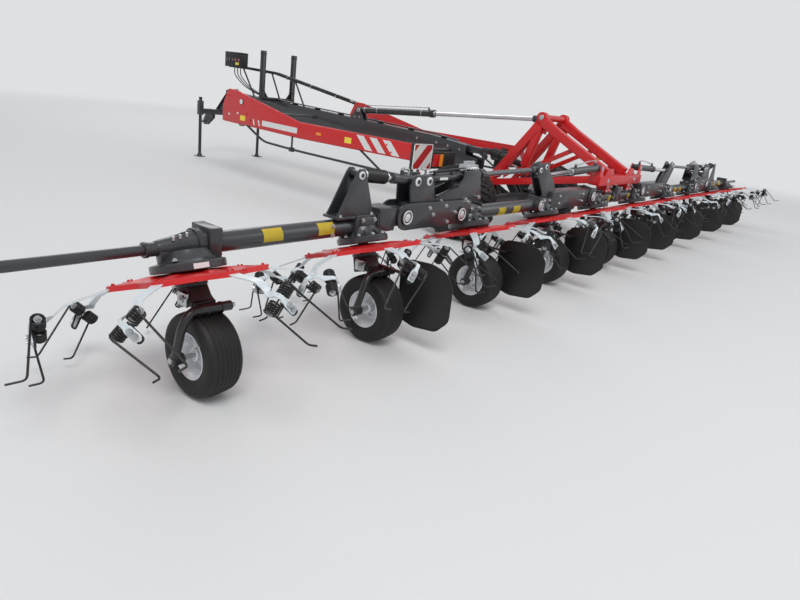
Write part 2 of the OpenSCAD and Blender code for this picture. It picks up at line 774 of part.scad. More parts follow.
module stand(s) color(black_steel) {
  translate([s * 650, headstock_y + 155, 10]) cylinder(r = 27 - running_gap, h = 1020);
  translate([s * 650 - 75, headstock_y + 80, 0]) cube([150, 150, 10]);
}

/* Placing */

module placed() translate([0, -mid_y, 0]) children();

module legs_at(list) color(black_steel) for (e = list) wheel_leg(e[0], e[1]);

for (i = [1:rotor_count]) {
  placed() rotor(i);
  placed() rotor_wheel(i);
}
placed() beam_centre();
placed() {  // legs_centre
  legs_at([[rotor_spacing / 2, true]]);
  on_left() legs_at([[rotor_spacing / 2, true]]);
}
placed() centre_frame();
placed() lift_tower();
placed() on_left() beam_inner();  // beam_inner_left
placed() beam_inner();  // beam_inner_right
placed() on_left()  // legs_inner_left
  legs_at([[1.5 * rotor_spacing, true], [2.5 * rotor_spacing, true]]);
placed()  // legs_inner_right
  legs_at([[1.5 * rotor_spacing, true], [2.5 * rotor_spacing, true]]);
placed() on_left() beam_outer();  // beam_outer_left
placed() beam_outer();  // beam_outer_right
placed() on_left()  // legs_outer_left
  legs_at([[3.5 * rotor_spacing, true], [4.5 * rotor_spacing, false]]);
placed()  // legs_outer_right
  legs_at([[3.5 * rotor_spacing, true], [4.5 * rotor_spacing, false]]);
placed() on_left() wing_barrel();  // wing_barrel_left
placed() wing_barrel();  // wing_barrel_right
placed() on_left() wing_rod();  // wing_rod_left
placed() wing_rod();  // wing_rod_right
placed() on_left() strut_barrel();  // strut_barrel_left
placed() strut_barrel();  // strut_barrel_right
placed() on_left() strut_rod();  // strut_rod_left
placed() strut_rod();  // strut_rod_right
placed() drawbar();
placed() axle();
placed() on_left() side_guard();  // side_guard_left
placed() side_guard();  // side_guard_right
placed() on_left() light_board();  // light_board_left
placed() light_board();  // light_board_right
placed() rest_posts();
placed() hose_guide();
placed() coupling_box();
placed() on_left() transport_wheel();  // transport_wheel_left
placed() transport_wheel();  // transport_wheel_right
placed() main_barrel();
placed() main_rod();
placed() drive_shaft();
placed() drive_tube();
placed() headstock();
placed() stand(-1);  // stand_left
placed() stand(1);  // stand_right
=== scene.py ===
"""Trailed hay tedder: ten tined rotors in five folding sections behind a drawbar on wheels."""
import math

import bmesh
import bpy
from bpy.props import FloatProperty, FloatVectorProperty, IntProperty, PointerProperty
from mathutils import Matrix, Vector


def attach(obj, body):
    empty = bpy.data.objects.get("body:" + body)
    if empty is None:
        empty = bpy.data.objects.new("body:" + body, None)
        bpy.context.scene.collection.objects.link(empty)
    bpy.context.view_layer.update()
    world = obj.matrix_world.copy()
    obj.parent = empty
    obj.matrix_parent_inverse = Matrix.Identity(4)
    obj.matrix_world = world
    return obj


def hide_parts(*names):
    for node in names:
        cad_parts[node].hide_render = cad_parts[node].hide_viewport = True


bl_info = {
    "name": "Hay tedder",
    "version": (1, 0, 0),
    "blender": (4, 5, 0),
    "location": "View3D > Sidebar > Tedder",
    "description": "Dresses the frame of a trailed hay tedder",
    "category": "Add Mesh",
}

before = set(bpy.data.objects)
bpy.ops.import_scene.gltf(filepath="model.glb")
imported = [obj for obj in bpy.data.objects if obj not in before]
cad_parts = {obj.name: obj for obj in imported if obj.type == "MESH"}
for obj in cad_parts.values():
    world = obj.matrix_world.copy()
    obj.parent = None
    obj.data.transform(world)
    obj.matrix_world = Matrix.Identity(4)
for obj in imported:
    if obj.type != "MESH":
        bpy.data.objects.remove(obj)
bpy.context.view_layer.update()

# Places are metres from the line of the rotor wheels, which lies this far behind the middle
WHEEL_LINE = -3.57
SPACING = 1.25
TILT = math.radians(18.5)
DISC_HEIGHT = 0.392
WHEEL_R = 0.22
HINGE_Z = 0.765
BEAM_Z = HINGE_Z - 0.043
BEAM_Y = (HINGE_Z - WHEEL_R) * math.tan(TILT)
ARMS = 7
FIRST_PHASE = 11.4
X, Y, Z = Vector((1, 0, 0)), Vector((0, 1, 0)), Vector((0, 0, 1))
SIDES = (("left", -1), ("right", 1))


def at(x, y, z):
    """A place given from the wheel line."""
    return Vector((x, y + WHEEL_LINE, z))


def rotor_x(i):
    return (i - 5.5) * SPACING


def side_of(x):
    """-1 for places on the left, and 1 on the right."""
    return -1 if x < 0 else 1


def on_axis(x, height=0.0):
    """Matrix of the leaning axis of the rotor at x, a height above the wheel's centre."""
    return Matrix.Translation(at(x, 0, WHEEL_R)) @ Matrix.Rotation(-TILT, 4, "X") \
        @ Matrix.Translation((0, 0, height))


# Node trees

def add_node(tree, kind, inputs=None, **attributes):
    """A node with its attributes set, and its inputs set or linked."""
    node = tree.nodes.new(kind)
    for key, value in attributes.items():
        setattr(node, key, value)
    for key, value in (inputs or {}).items():
        if isinstance(value, bpy.types.NodeSocket):
            tree.links.new(value, node.inputs[key])
        else:
            node.inputs[key].default_value = value
    return node


def new_tree(name, kind, inputs, outputs):
    """A node group with named sockets, and its input and output nodes."""
    tree = bpy.data.node_groups.new(name, kind)
    for label, socket, default in inputs:
        made = tree.interface.new_socket(label, in_out="INPUT", socket_type=socket)
        if default is not None:
            made.default_value = default
    for label, socket in outputs:
        tree.interface.new_socket(label, in_out="OUTPUT", socket_type=socket)
    return tree, tree.nodes.new("NodeGroupInput"), tree.nodes.new("NodeGroupOutput")


def maths(tree, operation, a, b=0.0, clamp=False):
    return add_node(tree, "ShaderNodeMath", {0: a, 1: b}, operation=operation, use_clamp=clamp).outputs[0]


def mix_colour(tree, factor, a, b, blend="MIX"):
    node = add_node(tree, "ShaderNodeMix", {0: factor, 6: a, 7: b}, data_type="RGBA", blend_type=blend)
    return node.outputs[2]


def weathering_group():
    """Dust on upward faces, shade that varies, and a fine grain."""
    tree, g_in, g_out = new_tree("Weathering", "ShaderNodeTree", [
        ("Colour", "NodeSocketColor", None), ("Dust colour", "NodeSocketColor", (0.30, 0.26, 0.19, 1)),
        ("Dust", "NodeSocketFloat", 0.2), ("Roughness", "NodeSocketFloat", 0.4),
        ("Variation", "NodeSocketFloat", 0.2), ("Scale", "NodeSocketFloat", 1.0),
        ("Grain", "NodeSocketFloat", 0.1)],
        [("Colour", "NodeSocketColor"), ("Roughness", "NodeSocketFloat"), ("Normal", "NodeSocketVector")])
    place = add_node(tree, "ShaderNodeTexCoord").outputs["Object"]
    noises = []
    for base, detail in ((2.3, 5), (19, 4), (160, 2)):
        scale = maths(tree, "MULTIPLY", g_in.outputs["Scale"], base)
        settings = {"Vector": place, "Scale": scale, "Detail": detail, "Roughness": 0.6}
        noises.append(add_node(tree, "ShaderNodeTexNoise", settings).outputs["Fac"])
    broad, middle, fine = noises
    normal = add_node(tree, "ShaderNodeNewGeometry").outputs["Normal"]
    up = add_node(tree, "ShaderNodeSeparateXYZ", {0: normal}).outputs["Z"]
    facing = add_node(tree, "ShaderNodeMapRange", {"Value": up, 1: -0.3, 2: 1.0, 3: 0.25, 4: 1.0}).outputs[0]
    blotch = maths(tree, "ADD", maths(tree, "MULTIPLY", broad, 2.2), maths(tree, "MULTIPLY", middle, 1.6))
    blotch = maths(tree, "SUBTRACT", blotch, 1.45, clamp=True)
    dust = maths(tree, "MULTIPLY", maths(tree, "MULTIPLY", blotch, facing), g_in.outputs["Dust"], clamp=True)
    shade = maths(tree, "SUBTRACT", 1.0, maths(tree, "MULTIPLY", middle, g_in.outputs["Variation"]))
    grey = add_node(tree, "ShaderNodeCombineColor", {0: shade, 1: shade, 2: shade}).outputs[0]
    base = mix_colour(tree, 1.0, g_in.outputs["Colour"], grey, "MULTIPLY")
    tree.links.new(mix_colour(tree, dust, base, g_in.outputs["Dust colour"]), g_out.inputs["Colour"])
    rough = maths(tree, "ADD", g_in.outputs["Roughness"], maths(tree, "MULTIPLY", dust, 0.4))
    speckle = maths(tree, "MULTIPLY", maths(tree, "SUBTRACT", middle, 0.5), 0.18)
    rough = maths(tree, "ADD", rough, speckle, clamp=True)
    tree.links.new(rough, g_out.inputs["Roughness"])
    height = maths(tree, "ADD", fine, maths(tree, "MULTIPLY", middle, 0.5))
    bump = add_node(tree, "ShaderNodeBump", {"Strength": g_in.outputs["Grain"], "Distance": 0.002,
                                             "Height": height})
    tree.links.new(bump.outputs[0], g_out.inputs["Normal"])
    return tree


def spangle_pattern(tree):
    """Crystal flakes of hot dip galvanising."""
    place = add_node(tree, "ShaderNodeTexCoord").outputs["Object"]
    cells = add_node(tree, "ShaderNodeTexVoronoi", {"Vector": place, "Scale": 85.0}).outputs["Color"]
    flake = add_node(tree, "ShaderNodeSeparateColor", {0: cells}).outputs[0]
    return mix_colour(tree, flake, (0.66, 0.72, 0.75, 1), (0.80, 0.86, 0.88, 1))


STRIPE_START, STRIPE_PITCH = 1.895, 0.30


def stripe_pattern(tree):
    """Slanting red and white warning stripes that rise towards the middle of the machine."""
    place = add_node(tree, "ShaderNodeTexCoord").outputs["Object"]
    parts = add_node(tree, "ShaderNodeSeparateXYZ", {0: place})
    run = maths(tree, "ADD", maths(tree, "ABSOLUTE", parts.outputs["X"]), parts.outputs["Z"])
    pitches = maths(tree, "DIVIDE", maths(tree, "SUBTRACT", run, STRIPE_START), STRIPE_PITCH)
    is_red = maths(tree, "GREATER_THAN", maths(tree, "FRACT", pitches), 0.5)
    return mix_colour(tree, is_red, (0.80, 0.80, 0.78, 1), (0.50, 0.02, 0.025, 1))


RED, GREY, BLACK, GALVANISED, ZINC = "red_paint", "grey_paint", "black_paint", "galvanised", "zinc"
TINE_STEEL, RUBBER, HOSE_RUBBER, PLASTIC = "tine_steel", "rubber", "hose_rubber", "black_plastic"
RIM_SILVER, CHROME, POLISHED = "rim_silver", "chrome", "polished_dark"
YELLOW, WHITE, STRIPES = "label_yellow", "label_white", "warning_stripes"
GLOWING_RED, AMBER = "lamp_red", "lamp_amber"

# Colour, roughness, metallic, coat, dust, variation and grain of every finish.
# Red and grey take their colour from the settings.
FINISHES = {
    RED: (None, 0.34, 0.0, 0.2, 0.02, 0.06, 0.03),
    GREY: (None, 0.33, 0.0, 0.35, 0.05, 0.15, 0.05),
    BLACK: ((0.012, 0.012, 0.014), 0.36, 0.0, 0.25, 0.05, 0.2, 0.06),
    GALVANISED: ((0.84, 0.89, 0.92), 0.36, 0.15, 0.0, 0.02, 0.08, 0.04),
    ZINC: ((0.62, 0.63, 0.64), 0.28, 0.85, 0.0, 0.02, 0.2, 0.06),
    TINE_STEEL: ((0.010, 0.010, 0.012), 0.34, 0.3, 0.2, 0.04, 0.3, 0.1),
    RUBBER: ((0.006, 0.006, 0.007), 0.6, 0.0, 0.0, 0.04, 0.3, 0.2),
    HOSE_RUBBER: ((0.010, 0.010, 0.011), 0.45, 0.0, 0.0, 0.04, 0.2, 0.12),
    PLASTIC: ((0.012, 0.012, 0.013), 0.45, 0.0, 0.0, 0.05, 0.2, 0.12),
    RIM_SILVER: ((0.80, 0.82, 0.84), 0.3, 0.35, 0.3, 0.03, 0.1, 0.1),
    CHROME: ((0.78, 0.78, 0.8), 0.12, 1.0, 0.0, 0.03, 0.08, 0.02),
    POLISHED: ((0.10, 0.105, 0.115), 0.22, 0.6, 0.5, 0.05, 0.1, 0.03),
    YELLOW: ((0.98, 0.74, 0.07), 0.42, 0.0, 0.0, 0.0, 0.05, 0.02),
    WHITE: ((0.82, 0.82, 0.80), 0.4, 0.0, 0.0, 0.05, 0.06, 0.02),
    STRIPES: ((0.7, 0.3, 0.3), 0.3, 0.0, 0.4, 0.05, 0.05, 0.1),
    GLOWING_RED: ((0.55, 0.01, 0.012), 0.12, 0.0, 0.8, 0.02, 0.2, 0.02),
    AMBER: ((0.85, 0.26, 0.01), 0.12, 0.0, 0.8, 0.02, 0.2, 0.02),
}
PATTERNS = {GALVANISED: spangle_pattern, STRIPES: stripe_pattern}
# The glow strength is lamp light on the lenses, and painted glow on the reflector and the coupling caps that
# share these finishes
RUBBER_SCALE, LENS_AND_PAINTED_GLOW, COAT_ROUGHNESS = 2.0, 0.15, 0.12
SHARED = {}


def shared(name, make, *inputs):
    """What make gives, made once and kept under its name."""
    if name not in SHARED:
        SHARED[name] = make(*inputs)
    return SHARED[name]


def make_finish(name):
    """A Principled shader fed by the weathering group."""
    colour, roughness, metallic, coat, dust, variation, grain = FINISHES[name]
    colours = bpy.context.scene.tedder_colours
    colour = colour or (colours.red if name == RED else colours.grey)
    mat = bpy.data.materials.new(name)
    mat.use_nodes = True
    mat.diffuse_color = (*colour, 1)
    tree = mat.node_tree
    group = add_node(tree, "ShaderNodeGroup", {}, node_tree=shared("weathering", weathering_group))
    values = {"Dust": dust, "Roughness": roughness, "Variation": variation, "Grain": grain,
              "Scale": RUBBER_SCALE if name == RUBBER else 1.0}
    for label, value in values.items():
        group.inputs[label].default_value = value
    if name in PATTERNS:
        tree.links.new(PATTERNS[name](tree), group.inputs["Colour"])
    else:
        group.inputs["Colour"].default_value = (*colour, 1)
    shader = tree.nodes["Principled BSDF"].inputs
    for label, socket in (("Colour", "Base Color"), ("Roughness", "Roughness"), ("Normal", "Normal")):
        tree.links.new(group.outputs[label], shader[socket])
    shader["Metallic"].default_value = metallic
    shader["Coat Weight"].default_value = coat
    shader["Coat Roughness"].default_value = COAT_ROUGHNESS
    # Both finishes glow a little: lamp light on the lenses, and painted glow on the round reflector and the
    # coupling caps, which are no lamps
    if name in (GLOWING_RED, AMBER):
        shader["Emission Color"].default_value = (*colour, 1)
        shader["Emission Strength"].default_value = LENS_AND_PAINTED_GLOW
    return mat


def paint(name):
    """The material of a finish."""
    return shared("finish " + name, make_finish, name)


# Shapes

def around(count, shift=0.0):
    """Evenly spaced angles of a full turn."""
    return [math.tau * (k + shift) / count for k in range(count)]


# Places that several pieces share: x and z of pins on the beams, y and z of the others
BEAM_R = 0.055
INNER_HINGE, OUTER_HINGE = 0.8, 4.0
STRUT_BASE, STRUT_EYE = (3.900, 1.000), (4.450, 1.050)
WING_BASE, WING_EYE = (0.620, 1.050), (1.950, 1.080)
LIFT_BASE, LIFT_EYE = (4.340, 1.230), (1.220, 1.470)
TOWER_PIN = (1.69, 0.60)
AXLE_Y, AXLE_Z = 1.55, 0.43


def on_row(x, z, y=0.0):
    """A place given from the middle of the beams."""
    return at(x, BEAM_Y + y, z)


def solid_box(lo, hi):
    bm = bmesh.new()
    bmesh.ops.create_cube(bm, size=1.0)
    lo, hi = Vector(map(min, lo, hi)), Vector(map(max, lo, hi))
    for v in bm.verts:
        v.co = Vector([(lo[k] + hi[k]) / 2 + v.co[k] * (hi[k] - lo[k]) for k in range(3)])
    return bm


def at_box(lo, hi):
    """A box between two places given from the wheel line."""
    return solid_box(at(*lo), at(*hi))


def row_box(x0, x1, half, z0, z1):
    """A box that reaches half a depth to the front and rear of the beams' middle."""
    return at_box((x0, BEAM_Y - half, z0), (x1, BEAM_Y + half, z1))


def box_about(centre, x, y, z):
    """A box that reaches x, y and z from its centre."""
    half = Vector((x, y, z))
    return solid_box(centre - half, centre + half)


AXES_OF_PLANE = {"yz": (1, 2, 0), "xz": (0, 2, 1)}
CORNERS = ((-1, -1), (1, -1), (1, 1), (-1, 1))
SHARP_ANGLE = math.radians(32)


def plate(outline, plane, level, thickness):
    """A sheet cut to an outline in a plane, centred on its level. Places are from the wheel line."""
    u, v, w = AXES_OF_PLANE[plane]
    bm = bmesh.new()
    ring = []
    for p in outline:
        co = [0, 0, 0]
        co[u], co[v], co[w] = p[0], p[1], level - thickness / 2
        ring.append(bm.verts.new(at(*co)))
    face = bm.faces.new(ring)
    out = [0, 0, 0]
    out[w] = thickness
    made = bmesh.ops.extrude_face_region(bm, geom=[face])
    bmesh.ops.translate(bm, vec=out, verts=[g for g in made["geom"] if isinstance(g, bmesh.types.BMVert)])
    bmesh.ops.recalc_face_normals(bm, faces=bm.faces)
    return bm


def lathe(profile, segments=32, closed=False, sweep=math.tau):
    """A shape turned about Z from [radius, height] points; a closed profile makes a ring."""
    bm = bmesh.new()
    rings = []
    for r, h in profile:
        if r < 1e-6:
            rings.append([bm.verts.new((0, 0, h))] * segments)
        else:
            angles = [sweep * k / segments for k in range(segments)]
            rings.append([bm.verts.new((r * math.cos(a), r * math.sin(a), h)) for a in angles])
    pairs = list(zip(rings, rings[1:]))
    if closed:
        pairs.append((rings[-1], rings[0]))
    for low, high in pairs:
        for k in range(segments):
            n = (k + 1) % segments
            corners = []
            for v in (low[k], low[n], high[n], high[k]):
                if v not in corners:
                    corners.append(v)
            if len(corners) > 2:
                bm.faces.new(corners)
    bmesh.ops.recalc_face_normals(bm, faces=bm.faces)
    return bm


def along(a, b):
    """Matrix that stands the Z axis on the line from a to b, at a."""
    d = (b - a).normalized()
    return Matrix.Translation(a) @ d.to_track_quat("Z", "Y").to_matrix().to_4x4()


def turned(profile, a, b, segments=32):
    """A lathed shape on the line from a to b. Heights are metres from a."""
    bm = lathe(profile, segments)
    bm.transform(along(a, b))
    return bm


def rod(a, b, radius, segments=24, chamfer=0.002):
    length = (b - a).length
    c = min(chamfer, radius / 3, length / 3)
    edge = [(radius - c, 0), (radius, c), (radius, length - c), (radius - c, length)]
    return turned([(0, 0), *edge, (0, length)], a, b, segments)


def rods(piece, start, d, rows):
    """Round parts on a line, as (from, to, radius, sides, finish) in metres from its start."""
    for a, b, radius, sides, finish in rows:
        piece.add(rod(start + d * a, start + d * b, radius, sides), finish)


def disc(centre, axis, radius, width, segments=32, chamfer=0.003):
    """A round plate or boss centred on a place."""
    return rod(centre - axis * width / 2, centre + axis * width / 2, radius, segments, chamfer)


def rounded(points, radius, steps=5):
    """The points with their corners turned to arcs."""
    out = [points[0]]
    for a, b, c in zip(points, points[1:], points[2:]):
        u, v = (a - b), (c - b)
        cut = min(radius, u.length * 0.45, v.length * 0.45)
        p, q = b + u.normalized() * cut, b + v.normalized() * cut
        for k in range(steps + 1):
            t = k / steps
            out.append(p * (1 - t) ** 2 + b * 2 * t * (1 - t) + q * t ** 2)
    out.append(points[-1])
    return out


def skin(bm, rings):
    """Faces between rings of vertices, and over both ends."""
    for low, high in zip(rings, rings[1:]):
        for k in range(len(low)):
            n = (k + 1) % len(low)
            bm.faces.new((low[k], low[n], high[n], high[k]))
    bm.faces.new(rings[0][::-1])
    bm.faces.new(rings[-1])


def tube(points, radius, sides=10):
    """A round wire or pipe through points."""
    bm = bmesh.new()
    rings = []
    angles = around(sides)
    normal = (points[1] - points[0]).normalized().orthogonal().normalized()
    for k, p in enumerate(points):
        t = (points[min(k + 1, len(points) - 1)] - points[max(k - 1, 0)]).normalized()
        normal = (normal - t * normal.dot(t)).normalized()
        side = t.cross(normal)
        rings.append([bm.verts.new(p + (normal * math.cos(a) + side * math.sin(a)) * radius)
                      for a in angles])
    skin(bm, rings)
    return bm


def pipe(points, bend, radius, sides=10, steps=5):
    """A tube through points with its corners rounded."""
    return tube(rounded(points, bend, steps), radius, sides)


def beam(a, b, width, height, side=X):
    """A box section from a to b; side is the direction of its width."""
    d = (b - a).normalized()
    up = d.cross(side).normalized()
    across = up.cross(d)
    bm = bmesh.new()
    wide, high = across * width / 2, up * height / 2
    skin(bm, [[bm.verts.new(p + wide * s + high * t) for s, t in CORNERS] for p in (a, b)])
    bmesh.ops.recalc_face_normals(bm, faces=bm.faces)
    return bm


def cad_form(node):
    """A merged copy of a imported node's mesh, to be given soft edges."""
    bm = bmesh.new()
    bm.from_mesh(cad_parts[node].data)
    bmesh.ops.remove_doubles(bm, verts=bm.verts, dist=2e-5)
    bmesh.ops.dissolve_limit(bm, angle_limit=math.radians(1), verts=bm.verts, edges=bm.edges)
    return bm


class Piece:
    """One visible piece, gathered from parts that each have a finish; main is the usual one."""

    def __init__(self, name, body, slot, replaces=(), main=GREY):
        self.name, self.body, self.slot, self.replaces, self.main = name, body, slot, replaces, main
        self.verts, self.faces, self.index, self.finishes = [], [], [], []

    def add(self, bm, finish=None, bevel=0.0, move=None, segments=2):
        if bevel:
            sharp = [e for e in bm.edges if len(e.link_faces) == 2 and e.calc_face_angle(0) > SHARP_ANGLE]
            bmesh.ops.bevel(bm, geom=sharp, offset=bevel, segments=segments, profile=0.5, affect="EDGES",
                            clamp_overlap=True)
        if move is not None:
            bm.transform(move)
        mat = paint(finish or self.main)
        if mat not in self.finishes:
            self.finishes.append(mat)
        base = len(self.verts)
        bm.verts.index_update()
        self.verts += [v.co.copy() for v in bm.verts]
        for f in bm.faces:
            self.faces.append([base + v.index for v in f.verts])
            self.index.append(self.finishes.index(mat))
        bm.free()
        return self

    def done(self, smooth=35):
        mesh = bpy.data.meshes.new(self.name)
        mesh.from_pydata(self.verts, [], self.faces)
        for mat in self.finishes:
            mesh.materials.append(mat)
        mesh.polygons.foreach_set("material_index", self.index)
        mesh.shade_smooth()
        mesh.set_sharp_from_angle(angle=math.radians(smooth))
        mesh.update()
        return register_piece(self.name, mesh, self.body, self.replaces)


def ramp(value, start, span):
    """How far a value has come from start over a span, between 0 and 1."""
    return min(max((value - start) / span, 0.0), 1.0)


def smooth_step(t):
    t = min(max(t, 0.0), 1.0)
    return t * t * (3 - 2 * t)


# The folding beams are drawn this far below their solids, and what stands on them as much again
BEAM_DROP = 0.045
# Start and span of the lowering: over a disc, away from the middle hinge, and on top of a beam
OVER_DISC, FROM_HINGE, ON_TOP = (0.064, 0.022), (0.95, 0.65), (0.80, 0.10)


def lower_row(mesh, body):
    """Draws the folding beams a little lower than their solids; pans and wheel legs stay."""
    for v in mesh.vertices:
        beside, y, z = abs(v.co.x), v.co.y, v.co.z
        if body.startswith("wing_"):
            v.co.z -= 2 * BEAM_DROP * (beside - WING_BASE[0]) / (WING_EYE[0] - WING_BASE[0])
        else:
            above_disc = (z - WHEEL_R) * math.cos(TILT) + y * math.sin(TILT) - DISC_HEIGHT
            part = ramp(above_disc, *OVER_DISC) * smooth_step(ramp(beside, *FROM_HINGE))
            v.co.z -= part * BEAM_DROP * (1 + smooth_step(ramp(z, *ON_TOP)))
    mesh.update()


def register_piece(name, mesh, body, replaces=()):
    """Puts a finished mesh in the scene as a piece that rides on its body."""
    if body.startswith(("inner_", "outer_", "strut_", "wing_")):
        lower_row(mesh, body)
    obj = bpy.data.objects.new(name, mesh)
    bpy.context.scene.collection.objects.link(obj)
    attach(obj, body)
    if replaces:
        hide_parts(*replaces)
    return obj


# Repeats by Geometry Nodes

def repeat_tree(wire):
    """Copies of a shape round the Z axis; wire makes the shape from a centre line first."""
    name = "Ring of wires" if wire else "Ring of copies"
    tree, g_in, g_out = new_tree(name, "GeometryNodeTree", [
        ("Geometry", "NodeSocketGeometry", None), ("Count", "NodeSocketInt", 7),
        ("Wire radius", "NodeSocketFloat", 0.005), ("Material", "NodeSocketMaterial", None)],
        [("Geometry", "NodeSocketGeometry")])
    shape = g_in.outputs["Geometry"]
    if wire:
        profile = add_node(tree, "GeometryNodeCurvePrimitiveCircle",
                           {"Resolution": 6, "Radius": g_in.outputs["Wire radius"]})
        swept = add_node(tree, "GeometryNodeCurveToMesh",
                         {"Curve": shape, "Profile Curve": profile.outputs[0], "Fill Caps": True})
        shape = add_node(tree, "GeometryNodeSetShadeSmooth", {"Geometry": swept.outputs[0]}).outputs[0]
    points = add_node(tree, "GeometryNodePoints", {"Count": g_in.outputs["Count"]})
    index = add_node(tree, "GeometryNodeInputIndex").outputs[0]
    step = maths(tree, "DIVIDE", math.tau, g_in.outputs["Count"])
    turn = add_node(tree, "ShaderNodeCombineXYZ", {"Z": maths(tree, "MULTIPLY", index, step)})
    placed = add_node(tree, "GeometryNodeInstanceOnPoints",
                      {"Points": points.outputs[0], "Instance": shape, "Rotation": turn.outputs[0]})
    real = add_node(tree, "GeometryNodeRealizeInstances", {"Geometry": placed.outputs[0]})
    painted = add_node(tree, "GeometryNodeSetMaterial",
                       {"Geometry": real.outputs[0], "Material": g_in.outputs["Material"]})
    tree.links.new(painted.outputs[0], g_out.inputs[0])
    return tree


def bolt_tree():
    """A hexagon head with a washer on every point, standing along the point's normal."""
    tree, g_in, g_out = new_tree("Bolts on points", "GeometryNodeTree", [
        ("Geometry", "NodeSocketGeometry", None), ("Radius", "NodeSocketFloat", 0.012),
        ("Material", "NodeSocketMaterial", None)], [("Geometry", "NodeSocketGeometry")])
    radius = g_in.outputs["Radius"]
    forms = []
    for sides, wide, high, level in ((12, 1.35, 0.22, 0.11), (6, 1.0, 0.85, 0.62), (8, 0.5, 0.4, 1.2)):
        body = add_node(tree, "GeometryNodeMeshCylinder", {
            "Vertices": sides, "Radius": maths(tree, "MULTIPLY", radius, wide),
            "Depth": maths(tree, "MULTIPLY", radius, high)})
        lift = add_node(tree, "ShaderNodeCombineXYZ", {"Z": maths(tree, "MULTIPLY", radius, level)})
        forms.append(add_node(tree, "GeometryNodeTransform",
                              {"Geometry": body.outputs["Mesh"], "Translation": lift.outputs[0]}).outputs[0])
    join = add_node(tree, "GeometryNodeJoinGeometry")
    for form in forms:
        tree.links.new(form, join.inputs[0])
    normal = add_node(tree, "GeometryNodeInputNamedAttribute", {"Name": "out"}, data_type="FLOAT_VECTOR")
    turn = add_node(tree, "FunctionNodeAlignRotationToVector", {"Vector": normal.outputs[0]}, axis="Z")
    placed = add_node(tree, "GeometryNodeInstanceOnPoints", {
        "Points": g_in.outputs["Geometry"], "Instance": join.outputs[0], "Rotation": turn.outputs[0]})
    real = add_node(tree, "GeometryNodeRealizeInstances", {"Geometry": placed.outputs[0]})
    painted = add_node(tree, "GeometryNodeSetMaterial",
                       {"Geometry": real.outputs[0], "Material": g_in.outputs["Material"]})
    tree.links.new(painted.outputs[0], g_out.inputs[0])
    return tree


def run_tree(tree, data, values):
    """The mesh that a tree makes from some data, with its named inputs set."""
    obj = bpy.data.objects.new("maker", data)
    bpy.context.scene.collection.objects.link(obj)
    modifier = obj.modifiers.new("maker", "NODES")
    modifier.node_group = tree
    sockets = {s.name: s.identifier for s in tree.interface.items_tree if s.in_out == "INPUT"}
    for label, value in values.items():
        modifier[sockets[label]] = value
    bpy.context.view_layer.update()
    mesh = bpy.data.meshes.new_from_object(obj.evaluated_get(bpy.context.evaluated_depsgraph_get()))
    bpy.data.objects.remove(obj)
    return mesh


def bolts(name, body, places, radius=None, finish=ZINC):
    """Bolt heads at (place, direction) pairs, as one piece."""
    radius = radius or bpy.context.scene.tedder_sizes.bolt_head
    mesh = bpy.data.meshes.new(name)
    mesh.from_pydata([p for p, _ in places], [], [])
    out = mesh.attributes.new("out", "FLOAT_VECTOR", "POINT")
    out.data.foreach_set("vector", [c for _, d in places for c in d])
    made = run_tree(shared("bolts", bolt_tree), mesh, {"Radius": radius, "Material": paint(finish)})
    made.name = name
    return register_piece(name, made, body)


# Rotors

TIP_R, VALLEY_R, TIP_HALF = 0.380, 0.315, 0.026
STEP = math.tau / ARMS
COILS_AT = Vector((0.673, 0, -0.137))
COIL_LEAN = math.radians(40)
WIRE_R = 0.005
STRIP_THICKNESS = 0.007
ROTORS = range(1, 11)


def star_radius(angle):
    """Reach of the disc's outline at an angle from its nearest tip."""
    a = abs((angle + STEP / 2) % STEP - STEP / 2)
    if a < math.atan(TIP_HALF / TIP_R):
        return TIP_R / math.cos(a)
    p = Vector((TIP_R, TIP_HALF))
    q = Vector((VALLEY_R * math.cos(STEP / 2), VALLEY_R * math.sin(STEP / 2)))
    d = Vector((math.cos(a), math.sin(a)))
    e = q - p
    return (p.x * e.y - p.y * e.x) / (d.x * e.y - d.y * e.x)


def disc_height(r, angle):
    """Height of the pressed sheet: a dome with a ridge out to every tip."""
    a = abs((angle + STEP / 2) % STEP - STEP / 2)
    dome = 0.016 * smooth_step((0.225 - r) / 0.11)
    beside = r * math.sin(a)
    ridge = 0.014 * smooth_step((0.36 - r) / 0.16) * smooth_step((0.036 - beside) / 0.022)
    gusset = 0.005 * smooth_step((0.30 - r) / 0.05) * smooth_step((r - 0.19) / 0.03)
    return max(dome, ridge) + gusset * smooth_step((beside - 0.05) / 0.03)


def disc_form():
    bm = bmesh.new()
    samples = 20 * ARMS
    rings = []
    for k in range(samples):
        a = math.tau * k / samples
        edge = star_radius(a)
        section = [(0.033, -0.034), (0.076, -0.034), (0.080, -0.030), (0.080, -0.006), (0.2, -0.006),
                   (edge - 0.005, -0.006), (edge - 0.004, -0.026), (edge, -0.026), (edge, -0.002),
                   (edge - 0.002, 0.0)]
        for r in (0.97, 0.93, 0.87, 0.80, 0.74, 0.68, 0.62, 0.56):
            section.append((edge * r, disc_height(edge * r, a)))
        for r in (0.17, 0.15, 0.13, 0.11, 0.088):
            section.append((r, disc_height(r, a)))
        section += [(0.086, 0.018), (0.080, 0.0205), (0.033, 0.0205)]
        rings.append([bm.verts.new((r * math.cos(a), r * math.sin(a), z)) for r, z in section])
    for k in range(samples):
        a, b = rings[k], rings[(k + 1) % samples]
        for j in range(len(a)):
            n = (j + 1) % len(a)
            bm.faces.new((a[j], b[j], b[n], a[n]))
    bmesh.ops.recalc_face_normals(bm, faces=bm.faces)
    return bm


def from_coils(x, y, z):
    """A place in the coils' frame, where -Z is the way the legs point."""
    return COILS_AT + Vector((x, y * math.cos(COIL_LEAN) - z * math.sin(COIL_LEAN),
                              y * math.sin(COIL_LEAN) + z * math.cos(COIL_LEAN)))


